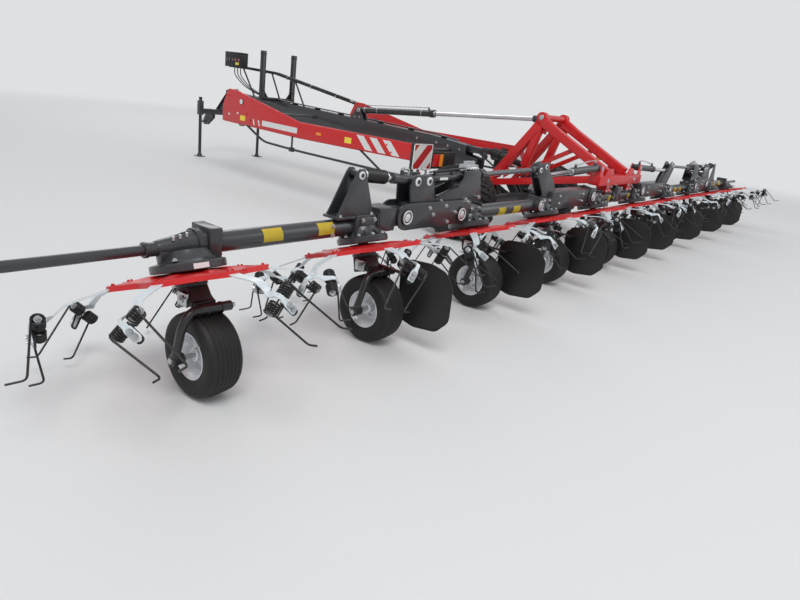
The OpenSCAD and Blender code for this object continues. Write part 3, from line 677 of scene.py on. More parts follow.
def strip_form():
    """The arm's strip: flat under the disc, twisted over the coils, and bent down between them."""
    lean = from_coils(0, 1, 0) - COILS_AT
    flat = ((0.245, -0.0105, 0.052), (0.345, -0.0105, 0.052), (0.368, -0.013, 0.052), (0.40, -0.0225, 0.052),
            (0.46, -0.034, 0.052), (0.525, -0.046, 0.050), (0.560, -0.058, 0.047))
    bent = ((-0.036, 0.038, 0.039), (-0.014, 0.036, 0.031), (0.012, 0.034, 0.025), (0.028, 0.028, 0.022),
            (0.034, 0.016, 0.022), (0.035, -0.004, 0.024), (0.035, -0.020, 0.038), (0.035, -0.068, 0.040),
            (0.035, -0.078, 0.032))
    rows = [(Vector((x, 0, z)), Y, width) for x, z, width in flat]
    rows += [(Vector((0.588, 0, -0.078)), (Y + lean * 0.1).normalized(), 0.044),
             (Vector((0.612, -0.004, -0.095)), (Y + lean * 0.45).normalized(), 0.041)]
    rows += [(from_coils(x, 0, z), lean, width) for x, z, width in bent]
    bm = bmesh.new()
    rings = []
    for k, (p, side, width) in enumerate(rows):
        t = (rows[min(k + 1, len(rows) - 1)][0] - rows[max(k - 1, 0)][0]).normalized()
        n = t.cross(side).normalized() * STRIP_THICKNESS / 2
        w = side * width / 2
        rings.append([bm.verts.new(q) for q in (p - w - n, p + w - n, p + w + n, p - w + n)])
    skin(bm, rings)
    bmesh.ops.recalc_face_normals(bm, faces=bm.faces)
    sharp = [e for e in bm.edges if e.calc_face_angle(0) > math.radians(50)]
    bmesh.ops.bevel(bm, geom=sharp, offset=0.0012, segments=1, affect="EDGES", clamp_overlap=True)
    return bm


def tine_line():
    """Centre line of one double tine, from tip to tip through both coils."""
    ring, turns, inner, outer = 0.026, 5, 0.0175, 0.076
    per_turn = 12

    def coil(side):
        out = []
        for k in range(turns * per_turn + 1):
            t = k / (turns * per_turn)
            angle = math.tau * turns * t
            out.append(from_coils(ring * math.cos(angle), side * (outer + (inner - outer) * t),
                                  ring * math.sin(angle)))
        return out

    def leg(side, knee, tip):
        line = [tip, knee, (ring, side * outer, -0.004)]
        return rounded([from_coils(*p) for p in line], 0.022, 4)

    long_leg = leg(1, (0.090, 0.078, -0.287), (0.165, 0.070, -0.283))
    short_leg = leg(-1, (0.024, -0.060, -0.232), (0.082, -0.064, -0.230))
    line = [(ring, inner, -0.006), (ring + 0.002, 0.0145, -0.088), (ring + 0.002, -0.0145, -0.088),
            (ring, -inner, -0.006)]
    loop = rounded([from_coils(*p) for p in line], 0.013, 5)
    return long_leg + coil(1) + loop + coil(-1)[::-1] + short_leg[::-1]


def curve_of(points):
    data = bpy.data.curves.new("line", "CURVE")
    data.dimensions = "3D"
    spline = data.splines.new("POLY")
    spline.points.add(len(points) - 1)
    spline.points.foreach_set("co", [c for p in points for c in (*p, 1.0)])
    return data


def placed_copy(mesh, matrix, name):
    copy = mesh.copy()
    copy.name = name
    copy.transform(matrix)
    if matrix.determinant() < 0:
        copy.flip_normals()
    return copy


def build_rotors():
    sizes = bpy.context.scene.tedder_sizes
    strip = bpy.data.meshes.new("strip")
    bm = strip_form()
    bm.to_mesh(strip)
    bm.free()
    copies = shared("ring of copies", repeat_tree, False)
    wires = shared("ring of wires", repeat_tree, True)
    arms = run_tree(copies, strip, {"Count": ARMS, "Material": paint(GALVANISED)})
    tines = run_tree(wires, curve_of(tine_line()),
                     {"Count": ARMS, "Wire radius": sizes.tine_wire, "Material": paint(TINE_STEEL)})
    arms.shade_smooth()
    arms.set_sharp_from_angle(angle=math.radians(40))
    lean = from_coils(0, 1, 0) - COILS_AT
    for i in ROTORS:
        odd = i % 2 == 1
        phase = math.radians(FIRST_PHASE if odd else -FIRST_PHASE)
        matrix = on_axis(rotor_x(i), DISC_HEIGHT) @ Matrix.Rotation(phase, 4, "Z")
        turned_way = matrix if odd else matrix @ Matrix.Diagonal((1, -1, 1, 1))
        body = f"rotor_{i}"
        Piece(f"{body}_disc", body, "rotor_red", [body]).add(disc_form(), RED, move=matrix).done(30)
        for part, mesh, slot in (("arms", arms, "galvanised"), ("tines", tines, "black_steel")):
            name = f"{body}_{part}"
            register_piece(name, placed_copy(mesh, turned_way, name), body)
        turns = [turned_way @ Matrix.Rotation(k * STEP, 4, "Z") for k in range(ARMS)]
        heads = []
        for turn in turns:
            facing = turn.to_3x3()
            heads += [(turn @ from_coils(0.0385, 0, z), facing @ X) for z in (-0.034, -0.058)]
            heads += [(turn @ from_coils(0, t * 0.070, 0), facing @ (lean * t)) for t in (-1, 1)]
        bolts(f"{body}_coil_bolts", body, heads, 0.0125)
        r = 0.352
        heads = [(turn @ Vector((r, y, disc_height(r, y / r) - 0.001)), turn.to_3x3() @ Z)
                 for turn in turns for y in (0.012, -0.012)]
        bolts(f"{body}_disc_bolts", body, heads, 0.0075, RED)


# Rotor wheels

def tyre_profile(r, width, bead, groove_count, groove_depth):
    """Closed half outline of a grooved tyre as [radius, place along the axle] points."""
    h = width / 2
    outer = [(bead, -0.80 * h), (bead + 0.006, -0.86 * h), (bead + 0.016, -0.87 * h),
             (bead + 0.022, -0.93 * h), (r * 0.45 + bead * 0.55, -0.99 * h), (r * 0.6 + bead * 0.4, -h),
             (r * 0.88, -0.975 * h),
             (r * 0.925, -0.92 * h), (r * 0.955, -0.84 * h), (r * 0.972, -0.76 * h)]
    crown = []
    pitch = 1.44 * h / groove_count
    for k in range(groove_count):
        left = -0.72 * h + pitch * k
        for t, deep in ((0.10, 0), (0.34, 1), (0.52, 1), (0.76, 0)):
            w = left + pitch * t
            crown.append((r * (1 - 0.028 * (w / (0.76 * h)) ** 2) - groove_depth * deep, w))
    other = [(a, -b) for a, b in outer[::-1]]
    inside = [(bead + 0.004, 0.6 * h), (bead + 0.004, -0.6 * h)]
    return outer + crown + other + inside


def rim_profile(bead, width, web, hub_r, hub_half):
    """Closed outline of a dished rim with its hub; web is where the disc stands."""
    h = width / 2
    t = 0.005
    return [(0.016, -hub_half), (hub_r, -hub_half), (hub_r, web - 0.012), (hub_r + 0.018, web - t),
            (bead - 0.034, web - t), (bead - 0.020, web - 0.016), (bead - 0.016, -0.60 * h),
            (bead - 0.008, -0.72 * h), (bead + 0.007, -0.80 * h), (bead + 0.010, -0.86 * h),
            (bead + 0.006, -0.885 * h), (bead - 0.001, -0.87 * h), (bead - 0.0035, -0.80 * h),
            (bead - 0.006, -0.60 * h), (bead - 0.008, 0.60 * h), (bead - 0.001, 0.80 * h),
            (bead + 0.004, 0.885 * h), (bead + 0.009, 0.87 * h), (bead + 0.007, 0.80 * h),
            (bead - 0.008, 0.70 * h), (bead - 0.014, 0.55 * h),
            (bead - 0.017, web + 0.02), (bead - 0.026, web + 0.006), (bead - 0.040, web + 0.001),
            (hub_r + 0.026, web + 0.002), (hub_r + 0.010, web + 0.012), (hub_r, web + 0.018),
            (hub_r, hub_half - 0.004), (hub_r - 0.004, hub_half), (0.016, hub_half)]


def ring_bolts(move, count, radius, height, shift=0.0):
    """Bolt places on a circle about a matrix's Z axis."""
    out = move.to_3x3() @ Z
    return [(move @ Vector((radius * math.cos(a), radius * math.sin(a), height)), out)
            for a in around(count, shift)]


def wheel_pieces(body, move, tyre, tyre_smooth, rim, hub, nuts, nut_radius):
    """Rim, hub cap and nuts beside a tyre. The rim and hub are given as outline and sides."""
    tyre.done(tyre_smooth)
    piece = Piece(body + "_rim", body, "galvanised")
    piece.add(lathe(rim[0], rim[1], True), RIM_SILVER, move=move)
    piece.add(lathe(hub[0], hub[1]), hub[2], move=move)
    piece.done(38)
    bolts(body + "_nuts", body, ring_bolts(move, *nuts), nut_radius)


def wheel_axle(x, y, r, out):
    """Matrix of a wheel whose axle points to side out."""
    return Matrix.Translation(at(x, y, r)) @ Matrix.Rotation(out * math.pi / 2, 4, "Y")


def build_rotor_wheels():
    width, bead, groove_depth = 0.190, 0.112, 0.005
    profile = tyre_profile(WHEEL_R, width, bead, bpy.context.scene.tedder_sizes.groove_count, groove_depth)
    rim = rim_profile(bead, width, -0.016, 0.034, 0.055), 64
    hub = [(0, 0.060), (0.020, 0.060), (0.026, 0.056), (0.026, 0.050), (0.0, 0.050)], 24, ZINC
    for i in ROTORS:
        x = rotor_x(i)
        body = f"rotor_wheel_{i}"
        move = wheel_axle(x, 0, WHEEL_R, side_of(x))
        tyre = Piece(body + "_tyre", body, "tyre_rubber", [body])
        tyre.add(lathe(profile, 80, True), RUBBER, move=move)
        wheel_pieces(body, move, tyre, 38, rim, hub, (5, 0.062, -0.0135, 0.3), 0.008)


def tread_bar(row, turn):
    """One curved bar of the tread, from the middle of the tyre out to its shoulder."""
    bar = bmesh.new()
    rings = []
    for t, high in ((0.0, 0.43), (0.25, 0.43), (0.55, 0.429), (0.8, 0.425), (0.93, 0.417), (1.0, 0.399)):
        lean = 0.16 * t * t + 0.03 * t
        half = 0.033 - 0.006 * t
        low = 0.405 if t < 0.95 else 0.385
        ring = []
        for beside, r in ((-half - 0.008, low), (half + 0.008, low), (half, high), (-half, high)):
            a = turn + lean + beside
            ring.append(bar.verts.new((r * math.cos(a), r * math.sin(a), row * (0.012 + t * 0.178))))
        rings.append(ring)
    skin(bar, rings)
    bmesh.ops.recalc_face_normals(bar, faces=bar.faces)
    return bar


def build_transport_wheels():
    width, bead, bars = 0.400, 0.215, 30
    h = width / 2
    half = [(bead, -0.80 * h), (bead + 0.012, -0.86 * h), (bead + 0.03, -0.9 * h), (0.29, -0.985 * h),
            (0.335, -h), (0.375, -0.97 * h), (0.398, -0.90 * h), (0.408, -0.78 * h), (0.413, -0.4 * h),
            (0.414, 0)]
    outline = half + [(a, -b) for a, b in half[-2::-1]] + [(bead + 0.01, 0.6 * h), (bead + 0.01, -0.6 * h)]
    rim = rim_profile(bead, width, 0.03, 0.07, 0.095), 72
    hub = [(0, 0.125), (0.045, 0.125), (0.056, 0.118), (0.060, 0.095), (0.0, 0.095)], 32, RED
    for side, s in SIDES:
        body = "transport_wheel_" + side
        move = wheel_axle(s * 1.15, AXLE_Y, AXLE_Z, s)
        tyre = Piece(body + "_tyre", body, "tyre_rubber", [body])
        tyre.add(lathe(outline, 88, True), RUBBER, move=move)
        # The two rows of bars lie half a pitch apart
        for row, shift in ((-1, 0), (1, 0.5)):
            for turn in around(bars, shift):
                tyre.add(tread_bar(row, turn), RUBBER, move=move)
        wheel_pieces(body, move, tyre, 30, rim, hub, (8, 0.105, 0.032), 0.013)


# Beams and legs

def from_cad(node, body, finish, slot, bevel, details):
    """The node's own form with soft edges, and more parts on it."""
    piece = Piece(node + "_form", body, slot, [node], finish)
    piece.add(cad_form(node), bevel=bevel)
    details(piece)
    piece.done()


WHEEL_GUARD = [(-0.150, 0.560), (-0.090, 0.500), (-0.110, 0.165), (-0.240, 0.135), (-0.420, 0.160),
               (-0.505, 0.250), (-0.500, 0.470), (-0.440, 0.550), (-0.330, 0.575)]


def wheel_leg(piece, x, guarded):
    """Column, saddle, bent arm and wheel guard of the rotor at x."""
    out = side_of(x)
    outward = X * out
    centre = at(x, 0, WHEEL_R)
    column = on_axis(x, DISC_HEIGHT)
    # Column inside the rotor, its flange, and the tapered house under it
    piece.add(rod(column @ Vector((0, 0, -0.150)), column @ Vector((0, 0, 0.030)), 0.034, 36))
    piece.add(rod(column @ Vector((0, 0, -0.056)), column @ Vector((0, 0, -0.040)), 0.078, 48))
    house = bmesh.new()
    rings = []
    for level, half_x, half_y, dy in ((-0.052, 0.056, 0.052, 0.0), (-0.110, 0.060, 0.060, -0.006),
                                      (-0.152, 0.070, 0.068, -0.018)):
        rings.append([house.verts.new(column @ Vector((u * half_x, v * half_y + dy, level)))
                      for u, v in CORNERS])
    skin(house, rings)
    bmesh.ops.recalc_face_normals(house, faces=house.faces)
    piece.add(house, bevel=0.008)
    # Cross tube of the arm with its silver bolt, seam and clamp
    inner_end = centre + Vector((-out * 0.120, -0.045, 0.243))
    outer_end = centre + Vector((out * 0.060, -0.045, 0.250))
    piece.add(rod(inner_end, outer_end, 0.0245, 32))
    piece.add(rod(inner_end - outward * 0.022, inner_end + outward * 0.004, 0.0115, 20), ZINC)
    for along_tube, r in ((0.060, 0.030), (0.135, 0.029)):
        piece.add(disc(inner_end + outward * along_tube, X, r, 0.010, 32))
    saddle = column @ Vector((-0.05, -0.074, -0.150))
    low, high = saddle - Vector((0.008, 0.02, 0.050)), saddle + Vector((0.108, 0.02, 0.020))
    piece.add(solid_box(low, high), bevel=0.006)
    # Bent arm down the outer side of the wheel to the hub
    line = [outer_end - outward * 0.03, outer_end + outward * 0.045]
    line += [centre + Vector(p) for p in ((out * 0.152, -0.052, 0.185), (out * 0.157, -0.030, 0.085),
                                          (out * 0.156, 0, 0))]
    piece.add(pipe(line, 0.075, 0.0215, 20, 8))
    piece.add(disc(centre + outward * 0.132, X, 0.030, 0.040, 32))
    piece.add(disc(centre + outward * 0.158, X, 0.030, 0.030, 32))
    piece.add(rod(centre - outward * 0.068, centre + outward * 0.160, 0.0145, 20), ZINC)
    piece.add(disc(centre + outward * 0.178, X, 0.017, 0.012, 6, 0.001), ZINC)
    piece.add(disc(centre - outward * 0.066, X, 0.026, 0.014, 28))
    # Slope setting: silver quadrant and pin on the outer front side, with its handle
    quadrant = column @ Vector((out * 0.072, -0.020, -0.110))
    piece.add(box_about(quadrant, 0.006, 0.040, 0.035), ZINC, bevel=0.003)
    piece.add(disc(quadrant + outward * 0.010, X, 0.018, 0.014, 20), ZINC)
    line = [quadrant + outward * 0.012, quadrant + Vector((out * 0.045, -0.05, 0.03)),
            quadrant + Vector((out * 0.060, -0.10, 0.055))]
    piece.add(pipe(line, 0.02, 0.006))
    if guarded:
        sheet = x - out * 0.149
        piece.add(plate(WHEEL_GUARD, "yz", sheet, 0.006), PLASTIC, bevel=0.002)
        edge = [at(sheet, y, z) for y, z in WHEEL_GUARD]
        piece.add(tube(rounded(edge + edge[:2], 0.03)[1:-1], 0.006, 8), PLASTIC)
        shelf = WHEEL_R + 0.268
        for a, b, y in ((0.152, 0.044, -0.150), (0.074, 0.034, 0.050)):
            step = at_box((x - out * a, -0.210, shelf), (x - out * b, y, shelf + 0.010))
            piece.add(step, bevel=0.002)
        for y in (-0.195, -0.165):
            piece.add(disc(at(x - out * 0.1545, y, shelf - 0.018), X, 0.011, 0.008, 6, 0.001), ZINC)


def build_wheel_legs():
    for section, rotors in (("centre", (5, 6)), ("inner_left", (3, 4)), ("inner_right", (7, 8)),
                            ("outer_left", (1, 2)), ("outer_right", (9, 10))):
        node, body = "legs_" + section, "centre_section" if section == "centre" else section
        piece = Piece(node + "_form", body, "black_steel", [node], BLACK)
        for i in rotors:
            wheel_leg(piece, rotor_x(i), 1 < i < 10)
        piece.done()


def beam_label(piece, x, width=0.075, low=-70, high=25, radius=BEAM_R):
    """A blank yellow sticker that wraps the rear of a beam tube; angles are degrees above its rear."""
    bm = bmesh.new()
    rows = []
    for k in range(9):
        a = math.radians(low + (high - low) * k / 8)
        y, z = -math.cos(a) * (radius + 0.0006), math.sin(a) * (radius + 0.0006)
        rows.append([bm.verts.new(on_row(x + s * width / 2, BEAM_Z + z, y)) for s in (-1, 1)])
    for a, b in zip(rows, rows[1:]):
        bm.faces.new((a[0], b[0], b[1], a[1]))
    bmesh.ops.solidify(bm, geom=bm.faces[:], thickness=0.0006)
    bmesh.ops.recalc_face_normals(bm, faces=bm.faces)
    piece.add(bm, YELLOW)


def ring_cover(piece, centre, radius, out=-1):
    """A black cap with a silver ring and a blank middle, on a face that looks along Y."""
    face = centre + Y * out * 0.001
    move = along(face, face + Y * out)
    cap = (0, 0), (0.97, 0), (0.97, 0.004), (0.90, 0.008), (0, 0.009)
    ring = (0.62, 0.006), (0.80, 0.006), (0.80, 0.011), (0.76, 0.0135), (0.66, 0.0135), (0.62, 0.011)
    middle = (0, 0.007), (0.46, 0.007), (0.46, 0.0105), (0.40, 0.0125), (0, 0.0125)
    for profile, sides, closed, finish in ((cap, 48, False, PLASTIC), (ring, 48, True, RIM_SILVER),
                                           (middle, 40, False, RIM_SILVER)):
        piece.add(lathe([(radius * r, h) for r, h in profile], sides, closed), finish, move=move)


PAN_BOLTS = 10


def gearbox_parts(piece, x, end=0, labelled=False):
    """Housing over the rotor at x. end is the side where only a thin tube leaves it, or 0."""
    # Pan over the disc, its neck, and ribs round the neck
    if end:
        section = [(0, 0.022), (0.178, 0.022), (0.182, 0.026), (0.182, 0.056), (0.176, 0.062),
                   (0.140, 0.068), (0.120, 0.086), (0.100, 0.120), (0, 0.135)]
    else:
        section = [(0, 0.028), (0.156, 0.028), (0.164, 0.035), (0.164, 0.064), (0.157, 0.071),
                   (0.128, 0.076), (0.108, 0.094), (0.094, 0.130), (0, 0.140)]
    pan = on_axis(x, DISC_HEIGHT)
    piece.add(lathe(section, 72), move=pan)
    for a in () if end else around(PAN_BOLTS, 0.5):
        side = pan.to_3x3() @ Vector((-math.sin(a), math.cos(a), 0))
        inner, outer = [pan @ Vector((math.cos(a) * r, math.sin(a) * r, z))
                        for r, z in ((0.094, 0.104), (0.150, 0.070))]
        piece.add(beam(inner, outer, 0.008, 0.018, side), bevel=0.002)
    # Flanges
    half, reach = (0.082, 0.165) if end else (0.074, 0.107)
    for t in (-1, 1):
        if t != end:
            piece.add(at_box((x + t * 0.093, BEAM_Y - half, BEAM_Z + 0.012 - half),
                             (x + t * reach, BEAM_Y + half, BEAM_Z + 0.012 + half)), bevel=0.005)
    if end:
        # Casting that slopes from the big flange to the thin tube, with a collar and a rib
        big, small = on_row(x - end * 0.100, BEAM_Z + 0.012), on_row(x + end * 0.150, BEAM_Z)
        piece.add(turned([(0, 0), (0.067, 0), (0.067, 0.025), (0.062, 0.070), (0.048, 0.160), (0.040, 0.235),
                          (0.036, 0.2505), (0, 0.2505)], big, small, 48))
        piece.add(disc(big.lerp(small, 0.20), (small - big).normalized(), 0.074, 0.010, 48))
        rib = ((-0.095, 0.04), (-0.095, 0.083), (0.01, 0.068), (0.12, 0.034))
        piece.add(plate([(x + end * u, BEAM_Z + v) for u, v in rib], "xz", BEAM_Y, 0.010), bevel=0.002)
        # Web between the casting and the pan
        web = ((-0.09, -0.075), (-0.09, 0), (0.15, 0), (0.13, -0.095))
        web = [(x + end * u, BEAM_Z + v) for u, v in web]
        piece.add(plate(web, "xz", BEAM_Y - 0.012, 0.060), bevel=0.012)
        for k in range(3):
            c = on_row(x + end * (0.005 + 0.035 * k), BEAM_Z + 0.052 - 0.006 * k, -0.034)
            piece.add(rod(c, c + Z * 0.022, 0.008, 12), ZINC)
    else:
        rear, low, high = BEAM_Y - 0.068, BEAM_Z - 0.052, BEAM_Z + 0.072
        piece.add(at_box((x - 0.096, rear, low), (x + 0.096, BEAM_Y + 0.068, high)), bevel=0.018,
                  segments=3)
        piece.add(at_box((x - 0.066, rear - 0.010, low + 0.014), (x + 0.066, rear + 0.004, high - 0.014)),
                  GREY, bevel=0.008)
        # Breather and filler on top
        piece.add(rod(on_row(x + 0.03, high - 0.004), on_row(x + 0.03, high + 0.020), 0.011, 12), ZINC)
        filler = on_row(x - 0.045, high - 0.004, 0.02)
        piece.add(rod(filler, on_row(x - 0.045, high + 0.010, 0.02), 0.018, 6), PLASTIC)
    if labelled:
        # Blank sticker round the rear of the pan
        film = lathe([(0.1832, 0.028), (0.1832, 0.053)], 40, sweep=math.radians(24))
        bmesh.ops.delete(film, geom=[f for f in film.faces if f.calc_area() > 0.0002], context="FACES")
        bmesh.ops.solidify(film, geom=film.faces[:], thickness=0.0008)
        piece.add(film, WHITE, move=on_axis(x, DISC_HEIGHT) @ Matrix.Rotation(math.radians(-114), 4, "Z"))


def gearbox_bolts(x, end=0):
    """Bolt places of one gearbox, on the rear cover and round the pan's rim."""
    rim = ring_bolts(on_axis(x, DISC_HEIGHT), PAN_BOLTS, 0.142, 0.0735)
    if end:
        return [rim[6]]
    cover = [(on_row(x + j * 0.054, BEAM_Z + 0.010 + k, -0.078), -Y)
             for j in (-1, 1) for k in (-0.042, 0.042)]
    return cover + rim


def flange_bolts(name, body, gearboxes):
    """Dark bolts at the corners of the flanges of gearboxes given as (place, thin side)."""
    places = []
    for x, end in gearboxes:
        beside = 0.1652 if abs(x) > 5 else 0.1072
        for t in (-1, 1):
            if t != end:
                places += [(on_row(x + t * beside, BEAM_Z + 0.012 + k, j), X * t)
                           for j in (-0.058, 0.058) for k in (-0.058, 0.058)]
    bolts(name, body, places, 0.0095, GREY)


def hinge_fork(piece, x0, x):
    """Two cheeks of the hinge at x with their web and pin, from the gearbox side at x0."""
    s = 1 if x > x0 else -1
    outline = [(x0, HINGE_Z - 0.092), (x0, HINGE_Z + 0.086)]
    steps = 12
    for k in range(steps + 1):
        a = math.pi / 2 - math.pi * k / steps
        outline.append((x + s * 0.092 * math.cos(a), HINGE_Z + 0.092 * math.sin(a)))
    for t in (-1, 1):
        piece.add(plate(outline, "xz", BEAM_Y + t * 0.079, 0.018), bevel=0.004)
    piece.add(row_box(x0, x - s * 0.068, 0.070, HINGE_Z - 0.090, HINGE_Z + 0.080), bevel=0.006)
    piece.add(disc(on_row(x, HINGE_Z), Y, 0.025, 0.186), ZINC)
    piece.add(disc(on_row(x, HINGE_Z, 0.094), Y, 0.043, 0.012))
    ring_cover(piece, on_row(x, HINGE_Z, -0.088), 0.062)


def hinge_lug(piece, x, x1, height):
    """Tongue of the hinge at x and the block behind it, up to the gearbox side at x1."""
    s = 1 if x1 > x else -1
    piece.add(disc(on_row(x, HINGE_Z), Y, 0.060, 0.138))
    piece.add(row_box(x + s * 0.004, x + s * 0.108, 0.0685, HINGE_Z - 0.058, HINGE_Z + 0.058))
    low, top = HINGE_Z - height / 2 - 0.012, HINGE_Z + height / 2
    piece.add(row_box(x + s * 0.106, x1, 0.0775, low, top), bevel=0.008)


def pin_ring(piece, x, z, y, radius):
    """Silver ring with a dark middle at the end of a pin, on a plate that looks along Y."""
    face = on_row(x, z, y)
    out = -Y if y < 0 else Y
    ring = [(0, 0), (radius, 0), (radius, 0.007), (radius * 0.86, 0.010), (0, 0.010)]
    middle = [(0, 0.009), (radius * 0.5, 0.009), (radius * 0.5, 0.012), (0, 0.012)]
    piece.add(turned(ring, face, face + out, 32), RIM_SILVER)
    piece.add(turned(middle, face, face + out, 24), PLASTIC)


def bellows(piece, a, b, radius, folds):
    length = (b - a).length
    profile = [(0, 0), (radius * 0.72, 0), (radius * 0.72, 0.012)]
    for k in range(folds):
        low = 0.014 + (length - 0.028) * k / folds
        step = (length - 0.028) / folds
        profile += [(radius * 0.74, low), (radius, low + step * 0.38), (radius, low + step * 0.55),
                    (radius * 0.74, low + step * 0.95)]
    profile += [(radius * 0.72, length - 0.012), (radius * 0.72, length), (0, length)]
    piece.add(turned(profile, a, b, 40), HOSE_RUBBER)


def hose(name, body, points, radius):
    """A hydraulic hose with pressed silver ends."""
    line = rounded(rounded(points, 0.09, 6), 0.02, 2)
    obj = Piece(name, body, "black_plastic").add(tube(line, radius, 12), HOSE_RUBBER).done(60)
    ends = Piece(name + "_ends", body, "galvanised")
    for a, b in ((line[0], line[1]), (line[-1], line[-2])):
        d = (b - a).normalized()
        ends.add(rod(a - d * 0.012, a + d * 0.034, radius * 1.45, 16), ZINC)
        ends.add(rod(a - d * 0.024, a - d * 0.008, radius * 1.7, 6, 0.001), ZINC)
    ends.done()


def build_beams():
    piece = Piece("beam_centre_form", "centre_section", "grey_paint", ["beam_centre"])
    for s in (-1, 1):
        gearbox_parts(piece, s * rotor_x(6))
        hinge_fork(piece, s * 0.72, s * INNER_HINGE)
        piece.add(rod(on_row(s * 0.085, BEAM_Z), on_row(s * 0.130, BEAM_Z), 0.078, 40))
    piece.add(rod(on_row(-0.52, BEAM_Z), on_row(0.52, BEAM_Z), BEAM_R, 48))
    # Input gearbox: house, cover, boss and shaft
    piece.add(at_box((-0.086, BEAM_Y - 0.071, BEAM_Z - 0.055), (0.086, BEAM_Y + 0.131, HINGE_Z + 0.080)),
              bevel=0.014, segments=3)
    piece.add(at_box((-0.070, BEAM_Y - 0.080, BEAM_Z - 0.040), (0.070, BEAM_Y - 0.068, HINGE_Z + 0.066)),
              bevel=0.005)
    piece.add(rod(on_row(0, 0.700, 0.12), on_row(0, 0.7005, 0.150), 0.055, 40))
    piece.add(rod(on_row(0, 0.700, 0.12), at(0, 0.410, 0.7015), 0.029, 32), ZINC)
    for x in (-0.20, 0.42):
        beam_label(piece, x)
    piece.done()
    places = gearbox_bolts(rotor_x(5)) + gearbox_bolts(rotor_x(6))
    places += [(at(s * 0.131, BEAM_Y + 0.064 * math.cos(a), BEAM_Z + 0.064 * math.sin(a)), X * s)
               for s in (-1, 1) for a in around(6)]
    bolts("beam_centre_bolts", "centre_section", places)
    flange_bolts("beam_centre_flange_bolts", "centre_section", ((rotor_x(5), -1), (rotor_x(6), 1)))
    for side, s in SIDES:
        build_inner_beam(side, s)
        build_outer_beam(side, s)


def mirrored(outline, s):
    """An outline's points given for the right side, placed on side s."""
    return [(s * x, z) for x, z in outline]


